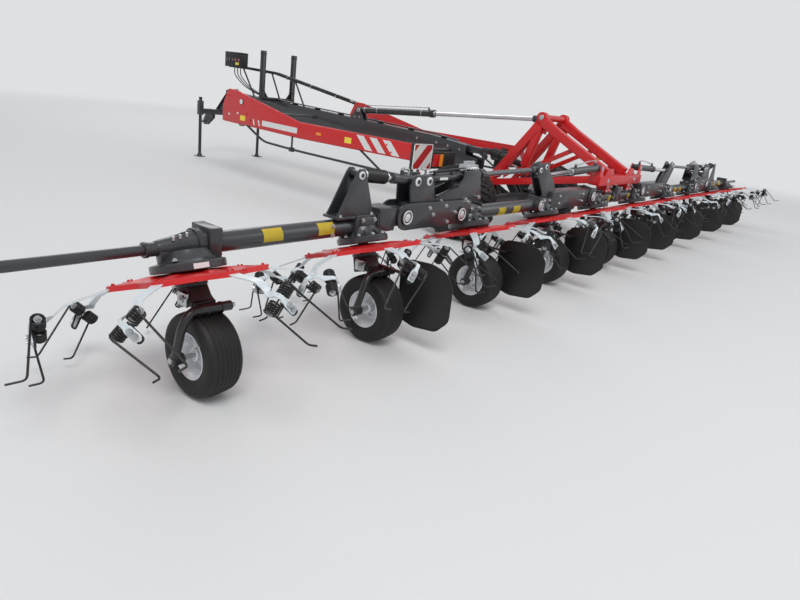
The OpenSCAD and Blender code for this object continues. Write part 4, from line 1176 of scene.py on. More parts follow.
def build_inner_beam(side, s):
    near, far = s * rotor_x(7), s * rotor_x(8)
    piece = Piece(f"beam_inner_{side}_form", f"inner_{side}", "grey_paint", [f"beam_inner_{side}"])
    hinge_lug(piece, s * INNER_HINGE, near - s * 0.107, 0.160)
    for x in (near, far):
        gearbox_parts(piece, x)
    piece.add(rod(on_row(near + s * 0.10, BEAM_Z), on_row(far - s * 0.10, BEAM_Z), BEAM_R, 56))
    hinge_fork(piece, far + s * 0.095, s * OUTER_HINGE)
    piece.add(disc(on_row(near + s * 0.130, BEAM_Z + 0.012, -0.066), Y, 0.064, 0.036))
    ring_cover(piece, on_row(near + s * 0.130, BEAM_Z + 0.012, -0.083), 0.060)
    ring_cover(piece, on_row(far + s * 0.210, HINGE_Z - 0.022, -0.088), 0.062)
    for x in (2.39, 2.64):
        beam_label(piece, s * x, 0.12, radius=0.0552)
    # Plates that carry the strut's pins, the long cylinder's block and the wing cylinder's eye
    hinge = [(3.66, 0.84), (3.95, 0.84), (3.965, 0.97), (3.96, 1.015), (3.925, 1.045), (3.75, 1.045),
             (3.715, 1.02), (3.70, 0.96)]
    block = [(3.05, 0.83), (3.66, 0.83), (3.66, 0.892), (3.40, 0.955), (3.335, 1.010), (3.325, 1.062),
             (3.115, 1.066)]
    wing = [(1.62, 0.77), (1.88, 0.77), (2.098, 1.035), (2.088, 1.080), (2.04, 1.105), (1.94, 1.122),
            (1.895, 1.108), (1.87, 1.060), (1.70, 0.91)]
    for t in (-1, 1):
        for outline, y, thickness, bevel in ((hinge, 0.060, 0.014, 0.004), (block, 0.062, 0.012, 0.004),
                                             (wing, 0.038, 0.010, 0.003)):
            piece.add(plate(mirrored(outline, s), "xz", BEAM_Y + t * y, thickness), bevel=bevel)
        for x, z in (STRUT_BASE, (3.77, 1.0)):
            pin_ring(piece, s * x, z, t * 0.066, 0.031)
        for x, z in ((2.05, 1.052), WING_EYE):
            pin_ring(piece, s * x, z, t * 0.042, 0.024)
    # Gussets between the plates, and the turned edge of the block plate
    piece.add(row_box(s * 3.70, s * 3.72, 0.054, 0.84, 0.95))
    edge = [on_row(s * x, z, -0.075) for x, z in ((3.66, 0.890), (3.40, 0.955))]
    piece.add(beam(*edge, 0.040, 0.007, Y), bevel=0.002)
    piece.add(row_box(s * 3.10, s * 3.34, 0.056, 0.96, 0.972))
    # Long cylinder with its bands, gland, rod and blank sticker
    end, eye = on_row(s * 3.77, 1.0), on_row(s * 2.05, 1.052)
    d = (eye - end).normalized()
    piece.add(disc(end, Y, 0.032, 0.100), BLACK)
    rods(piece, end, d, ((0.02, 0.78, 0.0345, 36, BLACK), (0.74, 0.80, 0.0425, 36, BLACK),
                         (0.798, 0.812, 0.030, 32, ZINC)))
    piece.add(rod(end + d * 0.80, eye - d * 0.02, 0.0205, 32), POLISHED)
    rods(piece, eye, d, ((-0.11, -0.02, 0.029, 32, GREY),))
    piece.add(disc(eye, Y, 0.030, 0.064))
    rods(piece, end, d, [(k, k + 0.012, 0.0375, 32, BLACK) for k in (0.10, 0.40)])
    piece.add(at_box((s * 3.60, BEAM_Y - 0.0352, 0.998), (s * 3.50, BEAM_Y - 0.0342, 1.016)), WHITE)
    # Valve block on top with its fittings and pipes
    block = on_row(s * 3.20, 1.078, -0.005)
    piece.add(box_about(block, 0.085, 0.035, 0.026), ZINC, bevel=0.004)
    for k in range(4):
        c = block + X * (k - 1.5) * 0.038
        piece.add(rod(c + Z * 0.02, c + Z * 0.052, 0.012, 6, 0.001), ZINC)
        piece.add(rod(c - Y * 0.03, c - Y * 0.056, 0.010, 6, 0.001), ZINC)
    for x, z in ((3.735, 1.040), (3.93, 1.044)):
        elbow = [on_row(s * x, z - 0.01), on_row(s * x, z + 0.030), on_row(s * (x + 0.055), z + 0.034)]
        piece.add(pipe(elbow, 0.015, 0.009, 12), ZINC)
    line = [on_row(s * x, z, -0.022) for x, z in ((3.72, 1.055), (3.60, 1.062), (3.29, 1.080))]
    piece.add(pipe(line, 0.02, 0.006), BLACK)
    for x in (3.66, 3.45):
        clamp = at_box((s * x, BEAM_Y - 0.03, 1.02), (s * (x - 0.02), BEAM_Y - 0.01, 1.066))
        piece.add(clamp, BLACK, bevel=0.002)
    piece.done()
    plates = []
    for y, rows in ((-0.0885, ((3.75, 0.815), (3.70, 0.765), (3.55, 0.820), (3.51, 0.700), (3.42, 0.765),
                               (3.27, 0.835))),
                    (-0.0685, ((3.27, 0.850), (3.09, 0.860), (3.60, 0.855))),
                    (-0.0785, ((1.05, 0.80), (1.05, 0.73), (1.60, 0.80), (1.60, 0.73)))):
        plates += [(on_row(s * x, z, y), -Y) for x, z in rows]
    bolts(f"beam_inner_{side}_bolts", f"inner_{side}", gearbox_bolts(near) + gearbox_bolts(far) + plates)
    flange_bolts(f"beam_inner_{side}_flange_bolts", f"inner_{side}", ((near, 0), (far, 0)))


def build_outer_beam(side, s):
    near, far = s * rotor_x(9), s * rotor_x(10)
    piece = Piece(f"beam_outer_{side}_form", f"outer_{side}", "grey_paint", [f"beam_outer_{side}"])
    hinge_lug(piece, s * OUTER_HINGE, near - s * 0.107, 0.146)
    gearbox_parts(piece, near)
    gearbox_parts(piece, far, s, True)
    piece.add(rod(on_row(near + s * 0.10, BEAM_Z), on_row(far - s * 0.10, BEAM_Z), BEAM_R, 56))
    # Guard tube with its collars and end ring
    for a, b, r in ((5.765, 5.830, 0.034), (5.815, 5.835, 0.038), (5.82, 6.60, 0.025),
                    (6.585, 6.602, 0.0275)):
        piece.add(rod(on_row(s * a, BEAM_Z), on_row(s * b, BEAM_Z), r, 36))
    for x, width in ((5.112, 0.135), (4.712, 0.130)):
        beam_label(piece, s * x, width, -20, 62)
    # Leaning plates that carry the strut's eye, and their foot
    outline = [(4.30, 0.79), (4.64, 0.79), (4.60, 0.86), (4.492, 1.060), (4.470, 1.088), (4.430, 1.088),
               (4.405, 1.060)]
    for t in (-1, 1):
        piece.add(plate(mirrored(outline, s), "xz", BEAM_Y + t * 0.044, 0.012), bevel=0.004)
        pin_ring(piece, s * STRUT_EYE[0], STRUT_EYE[1], t * 0.049, 0.026)
    piece.add(row_box(s * 4.30, s * 4.64, 0.066, 0.785, 0.803), bevel=0.004)
    piece.done()
    places = [(on_row(s * x, 0.803, y), Z) for x in (4.33, 4.61) for y in (-0.054, 0.054)]
    places += [(on_row(s * 4.66, BEAM_Z + z, -0.052), -Y) for z in (-0.028, 0.028)]
    bolts(f"beam_outer_{side}_bolts", f"outer_{side}", gearbox_bolts(near) + gearbox_bolts(far, s) + places)
    flange_bolts(f"beam_outer_{side}_flange_bolts", f"outer_{side}", ((near, 0), (far, s)))


# Cylinders

def port(piece, p):
    piece.add(rod(p, p + Z * 0.030, 0.014, 16), GREY)
    piece.add(rod(p + Z * 0.026, p + Z * 0.046, 0.012, 6, 0.001), ZINC)


def build_cylinders():
    for side, s in SIDES:
        base, eye = on_row(s * WING_BASE[0], WING_BASE[1]), on_row(s * WING_EYE[0], WING_EYE[1])
        u = (eye - base).normalized()

        def barrel(piece):
            rods(piece, base, u, ((0.610, 0.664, 0.0415, 36, GREY), (0.650, 0.672, 0.034, 36, ZINC),
                                  (0.045, 0.075, 0.041, 36, GREY)))
            for d in (0.09, 0.585):
                port(piece, base + u * d + Z * 0.034)
            line = [base + u * d + Z * h
                    for d, h in ((0.09, 0.068), (0.09, 0.085), (0.30, 0.085), (0.56, 0.06))]
            piece.add(pipe(line, 0.02, 0.006), ZINC)
            for y in (-0.050, 0.050):
                piece.add(disc(base + Y * y, Y, 0.024, 0.012, 28), ZINC)
        from_cad(f"wing_barrel_{side}", f"wing_barrel_{side}", GREY, "grey_paint", 0.002, barrel)

        def wing_rod(piece):
            piece.add(rod(eye - u * 0.11, eye - u * 0.03, 0.030, 32), GREY)
        from_cad(f"wing_rod_{side}", f"wing_rod_{side}", CHROME, "chrome", 0.0015, wing_rod)

        base, eye = on_row(s * STRUT_BASE[0], STRUT_BASE[1]), on_row(s * STRUT_EYE[0], STRUT_EYE[1])
        u = (eye - base).normalized()

        def strut(piece):
            piece.add(rod(base + u * 0.165, base + u * 0.204, 0.037, 36), GREY)
            port(piece, base + u * 0.10 + Z * 0.030)
            for y in (-0.050, 0.050):
                piece.add(disc(base + Y * y, Y, 0.026, 0.012, 28), ZINC)
                piece.add(disc(base + Y * y * 1.2, Y, 0.013, 0.006, 6, 0.001), ZINC)
        from_cad(f"strut_barrel_{side}", f"strut_barrel_{side}", GREY, "grey_paint", 0.002, strut)

        node = f"strut_rod_{side}"
        rod_piece = Piece(node + "_form", node, "black_steel", [node])
        rod_piece.add(rod(base + u * 0.064, base + u * 0.27, 0.016, 32), CHROME)
        bellows(rod_piece, base + u * 0.262, base + u * 0.488, 0.046, 7)
        rod_piece.add(rod(base + u * 0.482, eye, 0.018, 24), BLACK)
        rod_piece.add(disc(eye, Y, 0.024, 0.070, 36), BLACK)
        rods(rod_piece, base, u, [(d - 0.006, d + 0.006, 0.036, 32, ZINC) for d in (0.266, 0.482)])
        rod_piece.done()

    # Cylinder that lifts the beams
    base, eye = at(0, *LIFT_BASE), at(0, *LIFT_EYE)
    u = (eye - base).normalized()

    def main_barrel(piece):
        rods(piece, base, u, ((1.345, 1.424, 0.0535, 48, BLACK), (1.416, 1.430, 0.042, 48, ZINC)))
        for d in (0.13, 1.31):
            port(piece, base + u * d + Z * 0.040)
        rods(piece, base, u, [(d, d + 0.012, 0.0475, 48, ZINC) for d in (0.10, 0.35, 1.2)])
        line = [base + u * d + Z * h for d, h in ((0.13, 0.08), (0.20, 0.078), (1.24, 0.078), (1.31, 0.078))]
        piece.add(pipe(line, 0.03, 0.007), ZINC)
    from_cad("main_barrel", "main_barrel", BLACK, "black_steel", 0.002, main_barrel)

    def main_rod(piece):
        d = (eye - base).length
        piece.add(rod(base + u * (d - 0.16), base + u * (d - 0.02), 0.042, 40), GREY)
    from_cad("main_rod", "main_rod", CHROME, "chrome", 0.0015, main_rod)


# Drive shaft

def build_drive_shaft():
    joint, input_end = at(0, 1.930, 0.970), at(0, 0.415, 0.700)
    u = (input_end - joint).normalized()
    length = (input_end - joint).length

    def guard(piece):
        cone = [(0.062, 0), (0.068, 0.004), (0.069, 0.03)]
        for k in range(4):
            cone += [(0.069 - 0.004 * k, 0.034 + 0.026 * k), (0.060 - 0.004 * k, 0.047 + 0.026 * k),
                     (0.066 - 0.004 * k, 0.060 + 0.026 * k)]
        cone += [(0.044, 0.150), (0.0415, 0.16)]
        piece.add(turned(cone, joint + u * 0.05, joint + u * 0.3, 48), PLASTIC)
        piece.add(rod(joint + u * 0.745, joint + u * 0.778, 0.043, 40), YELLOW)
        # Cross of the joint
        piece.add(rod(joint - X * 0.045, joint + X * 0.045, 0.014, 20), BLACK)
        piece.add(rod(joint - Z * 0.036 + u * 0.02, joint + Z * 0.036 + u * 0.02, 0.014, 20), BLACK)
    from_cad("drive_shaft", "drive_shaft", PLASTIC, "black_plastic", 0.002, guard)

    def tube_end(piece):
        cone = [(0.059, 0)]
        for k in range(4):
            cone += [(0.0605, 0.012 + 0.028 * k), (0.062, 0.02 + 0.028 * k), (0.0605, 0.028 + 0.028 * k)]
        cone += [(0.059, 0.13)]
        piece.add(turned(cone, joint + u * (length - 0.15), input_end, 48), PLASTIC)
    from_cad("drive_tube", "drive_tube", PLASTIC, "black_steel", 0.002, tube_end)


# Tower and centre frame

def build_tower():
    def frame_parts(piece):
        for s in (-1, 1):
            # Gussets, end caps and pins of the cross box
            gusset = mirrored([(0.20, 0.968), (0.46, 0.968), (0.40, 1.045), (0.26, 1.045)], s)
            piece.add(plate(gusset, "xz", BEAM_Y - 0.045, 0.010), bevel=0.002)
            piece.add(at_box((s * 0.655, BEAM_Y - 0.068, 0.875), (s * 0.664, BEAM_Y + 0.048, 0.961)), RED,
                      bevel=0.003)
            for y in (-0.062, 0.062):
                piece.add(disc(on_row(s * 0.62, 1.05, y), Y, 0.026, 0.010, 28), ZINC)
        for x in (-0.42, 0.42):
            piece.add(rod(on_row(x, 0.918, -0.08), on_row(x, 0.918, -0.072), 0.024, 28), ZINC)
    from_cad("centre_frame", "centre_section", RED, "red_paint", 0.004, frame_parts)
    places = []
    for s in (-1, 1):
        for dx in (-0.055, 0.055):
            for z in (0.80, 0.85):
                places.append((on_row(s * 0.33 + dx, z, -0.066), -Y))
    bolts("centre_frame_bolts", "centre_section", places, 0.012)

    def tower(piece):
        for s in (-1, 1):
            x = s * 0.29
            for y, z, r in ((*TOWER_PIN, 0.036), (1.11, 1.49, 0.030)):
                piece.add(disc(at(x + s * 0.036, y, z), X, r, 0.016, 32), ZINC)
            # Gussets where the tubes meet
            for corners in (((0.20, 0.965), (0.42, 1.10), (0.42, 0.93)),
                            ((1.02, 1.41), (1.20, 1.33), (1.03, 1.30)),
                            ((1.50, 0.70), (1.52, 0.86), (1.36, 0.80))):
                piece.add(plate(corners, "yz", x, 0.010), bevel=0.002)
            # Welded sheets that thicken the tubes
            for a, b, w in (((0.20, 0.99), (1.09, 1.44), 0.100), ((1.13, 1.40), (1.62, 0.72), 0.104),
                            ((1.11, 1.40), (1.24, 0.90), 0.086)):
                piece.add(beam(at(x, *a), at(x, *b), w, w), bevel=0.008)
        piece.add(disc(at(0, *LIFT_EYE), X, 0.022, 0.150, 28), ZINC)
        for x in (-0.083, 0.083):
            piece.add(disc(at(x, *LIFT_EYE), X, 0.032, 0.012, 28), ZINC)
        piece.add(at_box((0.322, 0.50, 1.08), (0.3235, 0.60, 1.12)), YELLOW)
    from_cad("lift_tower", "centre_section", RED, "red_paint", 0.004, tower)


# Chassis

def build_chassis():
    def drawbar(piece):
        # Pipes along the top with their clamps
        for x in (-0.045, -0.022, 0.0, 0.022):
            for line in (((2.45, 1.04), (2.95, 1.084), (4.0, 1.116), (4.19, 1.122)),
                         ((4.55, 1.133), (6.0, 1.176), (6.5, 1.190))):
                piece.add(pipe([at(x, y, z) for y, z in line], 0.05, 0.0075), BLACK if x else ZINC)
        for y, z in ((2.70, 1.052), (3.3, 1.083), (3.9, 1.101), (4.75, 1.127), (5.3, 1.144), (5.85, 1.161),
                     (6.45, 1.177)):
            clamp = at_box((-0.062, y - 0.018, z - 0.02), (0.040, y + 0.018, z + 0.016))
            piece.add(clamp, PLASTIC, bevel=0.003)
            piece.add(at_box((-0.062, y - 0.014, z + 0.015), (0.040, y + 0.014, z + 0.019)), ZINC)
        for s in (-1, 1):
            piece.add(disc(at(s * 0.110, 1.93, 0.90), X, 0.045, 0.012, 32))
            piece.add(disc(at(s * 0.060, *LIFT_BASE), X, 0.034, 0.012, 32), ZINC)
            piece.add(at_box((s * 0.1055, 2.45, 0.78), (s * 0.1065, 2.58, 0.86)), YELLOW)
            piece.add(at_box((s * 0.0905, 6.6, 1.02), (s * 0.0915, 6.72, 1.09)), YELLOW)
            # Long weld ribs on the side plates
            piece.add(beam(at(s * 0.106, 1.75, 0.46), at(s * 0.106, 2.9, 0.77), 0.012, 0.05), bevel=0.003)
        piece.add(rod(at(0, 7.5, 1.186), at(0, 7.5, 1.19), 0.03, 32), ZINC)
    from_cad("drawbar", "chassis", GREY, "grey_paint", 0.004, drawbar)
    places = [(at(s * 0.1045, y, z), X * s) for s in (-1, 1)
              for y, z in ((2.35, 0.93), (2.55, 0.95), (2.75, 0.97), (2.35, 0.72), (2.62, 0.70), (2.9, 0.82),
                           (3.1, 0.98), (3.1, 0.86))]
    places += [(at(s * 0.0575, y, z), X * s) for s in (-1, 1) for y, z in ((4.30, 1.13), (4.40, 1.12))]
    bolts("drawbar_bolts", "chassis", places, 0.013)

    def axle(piece):
        for s in (-1, 1):
            piece.add(disc(at(s * 0.915, AXLE_Y, AXLE_Z), X, 0.085, 0.020, 40))
            for t in (-1, 1):
                piece.add(disc(at(s * 0.29 + t * 0.055, *TOWER_PIN), X, 0.034, 0.012, 32), ZINC)
            # Stops of the beams
            stop = at_box((s * 0.52 - 0.05, 1.50, 0.475), (s * 0.52 + 0.05, 1.60, 0.52))
            piece.add(stop, PLASTIC, bevel=0.008)
        piece.add(pipe([at(x, 1.485, 0.455) for x in (-0.80, -0.1, 0.8)], 0.05, 0.006, 8), HOSE_RUBBER)
    from_cad("axle", "chassis", GREY, "grey_paint", 0.004, axle)
    places = [(at(s * 0.926, AXLE_Y + 0.066 * math.cos(a), AXLE_Z + 0.066 * math.sin(a)), X * s)
              for s in (-1, 1) for a in around(8)]
    bolts("axle_bolts", "chassis", places, 0.010)

    def posts(piece):
        for s in (-1, 1):
            x = s * 0.33
            piece.add(at_box((x - 0.037, 6.313, 1.926), (x + 0.037, 6.387, 1.934)), PLASTIC, bevel=0.003)
            gusset = [(x - s * 0.034, 1.206), (x - s * 0.13, 1.206), (x - s * 0.034, 1.33)]
            piece.add(plate(gusset, "xz", 6.35, 0.010), bevel=0.002)
            for z in (1.30, 1.88):
                piece.add(at_box((x - 0.038, 6.312, z), (x + 0.038, 6.388, z + 0.02)), bevel=0.003)
    from_cad("rest_posts", "chassis", BLACK, "black_steel", 0.005, posts)

    def guide(piece):
        for y in (4.9, 5.5, 6.1, 6.7):
            z = 1.316 + (y - 4.5) / 1.9 * 0.284 if y < 6.4 else 1.6 + (y - 6.4) / 1.1 * 0.04
            band = at_box((-0.022, y - 0.012, z - 0.026), (0.022, y + 0.012, z + 0.030))
            piece.add(band, ZINC, bevel=0.002)
        piece.add(at_box((-0.020, 7.49, 1.615), (0.020, 7.506, 1.665)), PLASTIC, bevel=0.003)
        piece.add(at_box((-0.019, 4.494, 1.295), (0.019, 4.508, 1.336)), PLASTIC, bevel=0.003)
    from_cad("hose_guide", "chassis", BLACK, "grey_paint", 0.004, guide)

    def box(piece):
        piece.add(at_box((-0.399, 6.846, 1.835), (-0.261, 7.324, 1.866)), PLASTIC, bevel=0.010)
        for y in (6.92, 7.01, 7.10, 7.19, 7.26):
            piece.add(rod(at(-0.397, y, 1.74), at(-0.412, y, 1.74), 0.020, 24), ZINC)
            # The first two caps take the glowing red, and their glow is painted light, as caps are no lamps
            finish = GLOWING_RED if y < 7.05 else PLASTIC
            piece.add(rod(at(-0.41, y, 1.74), at(-0.424, y, 1.74), 0.013, 20), finish)
        piece.add(at_box((-0.3965, 6.93, 1.66), (-0.3948, 7.02, 1.70)), YELLOW)
    from_cad("coupling_box", "chassis", PLASTIC, "grey_paint", 0.010, box)

    # Hoses that hang under the guide from the box to the drawbar
    for k, x in enumerate((-0.30, -0.325, -0.35)):
        y = 7.0 + 0.05 * k
        hose(f"box_hose_{k + 1}", "chassis",
             [at(x, y, 1.63), at(x, y, 1.50), at(x * 0.7, y - 0.12, 1.34), at(x * 0.35, y - 0.34, 1.225),
              at(-0.045 + 0.022 * k, 6.60, 1.193), at(-0.045 + 0.022 * k, 6.515, 1.1905)], 0.008)
    for k, x in enumerate((0.030, -0.030)):
        hose(f"guide_hose_{k + 1}", "chassis",
             [at(x, 7.46, 1.655), at(x * 1.2, 6.95, 1.640), at(x * 1.2, 6.40, 1.622),
              at(x * 1.2, 5.3, 1.458), at(x, 4.52, 1.342)], 0.009)


GUARD_X = 1.4
FILM_X = GUARD_X + 0.0125
GUARD_EDGE = [(2.15, 0.82), (4.15, 0.80), (5.90, 0.83), (5.90, 1.06), (5.78, 1.29), (5.60, 1.285),
              (4.15, 1.00), (2.15, 1.00)]


def guard_strip(piece, s, y0, y1, z0, z1, finish, slope=0.0, lean=0.0):
    """A flat film on the outer face of a side guard."""
    ring = [(y0, z0), (y1, z0 + slope), (y1 + lean, z1 + slope), (y0 + lean, z1)]
    piece.add(plate(ring, "yz", s * FILM_X, 0.001), finish)


def build_side_guards():
    for side, s in SIDES:
        piece = Piece(f"side_guard_{side}_form", "chassis", "red_paint", [f"side_guard_{side}"])
        piece.add(plate(GUARD_EDGE, "yz", s * GUARD_X, 0.024), RED, bevel=0.004)
        # Rolled edges stiffen the sheet
        edge = [at(s * (GUARD_X - 0.006), y, z) for y, z in GUARD_EDGE]
        piece.add(pipe(edge + edge[:1], 0.02, 0.011), RED)
        # Post at the rear, rails under the sheet and their brackets
        post = s * GUARD_X
        piece.add(rod(at(post, 2.13, 0.56), at(post, 2.13, 1.01), 0.028, 32), BLACK)
        piece.add(rod(at(post, 2.13, 1.006), at(post, 2.13, 1.018), 0.030, 28), PLASTIC)
        rail = [at(post, 2.13, 0.610), at(post, 4.15, 0.620), at(post, 4.90, 0.640), at(post, 5.30, 0.820)]
        piece.add(pipe(rail, 0.12, 0.017, 16, 8), BLACK)
        piece.add(rod(at(post, 2.60, 0.612), at(post, 3.00, 0.822), 0.014, 20), BLACK)
        piece.add(rod(at(post, 4.28, 0.62), at(post, 4.28, 0.81), 0.013, 20), BLACK)
        piece.add(at_box((post - 0.020, 4.24, 0.590), (post + 0.020, 4.32, 0.650)), BLACK, bevel=0.004)
        for y, z in ((2.50, 0.90), (5.25, 1.01)):
            bracket = at_box((s * 1.335, y - 0.045, z - 0.045), (s * 1.389, y + 0.045, z + 0.045))
            piece.add(bracket, GREY, bevel=0.004)
        # White bands at the rear, blank film and labels, and a reflector
        for k in range(3):
            low = 2.889 - 0.222 * k
            guard_strip(piece, s, low, low - 0.125, 0.826, 0.990, WHITE, 0.0, 0.171)
        guard_strip(piece, s, 4.18, 4.94, 0.850, 0.925, WHITE, 0.008)
        for y in (4.985, 5.105):
            guard_strip(piece, s, y, y + 0.028, 0.845, 0.925, WHITE, 0.0, 0.03)
        for y, z in ((3.14, 0.862), (5.34, 0.875)):
            guard_strip(piece, s, y, y + 0.12, z, z + 0.072, YELLOW)
        for y, z in ((5.526, 0.969), (5.736, 0.937)):
            guard_strip(piece, s, y - 0.018, y + 0.018, z - 0.014, z + 0.014, WHITE)
        piece.add(disc(at(s * 1.4165, 5.442, 1.140), X, 0.036, 0.009, 36), WHITE)
        piece.add(disc(at(s * 1.4140, 5.442, 1.140), X, 0.043, 0.008, 36), PLASTIC)
        piece.add(at_box((s * 1.412, 3.70, 0.885), (s * 1.421, 3.70 + 0.09, 0.92)), AMBER, bevel=0.002)
        piece.done()
        places = [(at(s * FILM_X, y, z), X * s) for y, z in
                  ((2.46, 0.86), (2.54, 0.94), (5.21, 0.90), (5.29, 0.98), (4.10, 0.95), (5.75, 1.20))]
        bolts(f"side_guard_{side}_bolts", "chassis", places, 0.0085, RED)


def build_light_boards():
    for side, s in SIDES:
        piece = Piece(f"light_board_{side}_form", "chassis", "grey_paint", [f"light_board_{side}"])

        def box(x0, x1, y0, y1, z0, z1, finish, bevel=0.003):
            piece.add(at_box((s * x0, y0, z0), (s * x1, y1, z1)), finish, bevel=bevel)

        # Arm from the guard's outrigger, with its clamp
        x = s * 1.17
        piece.add(rod(at(x, 2.10, 0.90), at(x, 2.49, 0.90), 0.020, 28), BLACK)
        piece.add(rod(at(x, 2.46, 0.90), at(x, 2.50, 0.90), 0.027, 28), BLACK)
        box(1.13, 1.21, 2.11, 2.17, 0.86, 0.94, BLACK)
        # Striped board in a pale frame
        box(1.080, 1.430, 2.0925, 2.108, 0.720, 1.010, BLACK)
        box(1.085, 1.425, 2.0895, 2.0935, 0.725, 1.005, STRIPES, 0.0)
        for x0, x1, z0, z1 in ((1.073, 1.437, 0.713, 0.725), (1.073, 1.437, 1.005, 1.017),
                               (1.073, 1.085, 0.713, 1.017), (1.425, 1.437, 0.713, 1.017)):
            box(x0, x1, 2.086, 2.097, z0, z1, WHITE, 0.002)
        # Lamp housing with a panel and two lenses, and a bar behind it
        box(0.556, 1.052, 2.106, 2.176, 0.727, 0.914, PLASTIC, 0.012)
        box(0.548, 1.060, 2.099, 2.110, 0.719, 0.922, PLASTIC, 0.004)
        piece.add(rod(at(s * 0.77, 2.141, 0.90), at(s * 1.17, 2.141, 0.90), 0.015, 20), BLACK)
        for x0, x1, finish in ((0.585, 0.805, PLASTIC), (0.815, 0.885, AMBER), (0.895, 1.030, GLOWING_RED)):
            box(x0, x1, 2.0935, 2.103, 0.745, 0.896, finish, 0.005)
        # Round reflector under the board; its red glows a little, which is painted light, as a reflector is
        # no lamp
        piece.add(disc(at(s * 1.30, 2.088, 0.655), Y, 0.040, 0.014, 36), GLOWING_RED)
        piece.add(disc(at(s * 1.30, 2.098, 0.655), Y, 0.046, 0.012, 36), PLASTIC)
        box(1.28, 1.32, 2.098, 2.112, 0.64, 0.74, BLACK, 0.002)
        piece.done()


# Headstock and stands

def build_headstock():
    def head(piece):
        piece.add(rod(at(0, 7.5, 1.236), at(0, 7.5, 1.248), 0.044, 36), ZINC)
        for s in (-1, 1):
            # Collars and linch pins of the link pins, and clamps of the stands
            piece.add(disc(at(s * 0.424, 7.845, 0.61), X, 0.026, 0.010, 32), ZINC)
            piece.add(rod(at(s * 0.476, 7.845, 0.585), at(s * 0.476, 7.845, 0.642), 0.0045, 12), ZINC)
            clamp = [at(x, 7.655, 0.93) for x in (s * 0.65 + s * 0.06, s * 0.65 - s * 0.05)]
            piece.add(rod(*clamp, 0.009, 16), ZINC)
            for y in (7.60, 7.70):
                gusset = mirrored([(0.09, 0.85), (0.30, 0.85), (0.09, 1.15)], s)
                piece.add(plate(gusset, "xz", y, 0.012), bevel=0.003)
        # Guard round the drive stub
        sleeve = [(0.075, 0), (0.078, 0), (0.078, 0.12), (0.074, 0.12)]
        piece.add(turned(sleeve, at(0, 7.80, 0.875), at(0, 7.9, 0.875), 40), PLASTIC)
        piece.add(at_box((-0.05, 7.6045, 1.02), (0.05, 7.606, 1.10)), YELLOW)
    from_cad("headstock", "headstock", GREY, "grey_paint", 0.004, head)
    places = [(at(s * 0.4315, y, z), X * s)
              for s in (-1, 1) for y, z in ((7.65, 0.73), (7.65, 0.80), (7.74, 0.80))]
    places += [(at(0.055 * math.cos(a), 7.5 + 0.055 * math.sin(a), 1.2125), Z) for a in around(6, 0.5)]
    bolts("headstock_bolts", "headstock", places, 0.010)
    for side, s in SIDES:
        def foot(piece):
            c = at(s * 0.65, 7.655, 0)
            piece.add(rod(c + Z * 1.024, c + Z * 1.046, 0.030, 28), PLASTIC)
            plate_edge = [(0.027, 0), (0.050, 0), (0.0275, 0.05)]
            piece.add(turned(plate_edge, c + Z * 0.010, c + Z * 0.1, 32), BLACK)
            piece.add(rod(c + Z * 0.985 - X * 0.04, c + Z * 0.985 + X * 0.04, 0.006, 12), ZINC)
        from_cad(f"stand_{side}", f"stand_{side}", BLACK, "galvanised", 0.002, foot)


# Stage

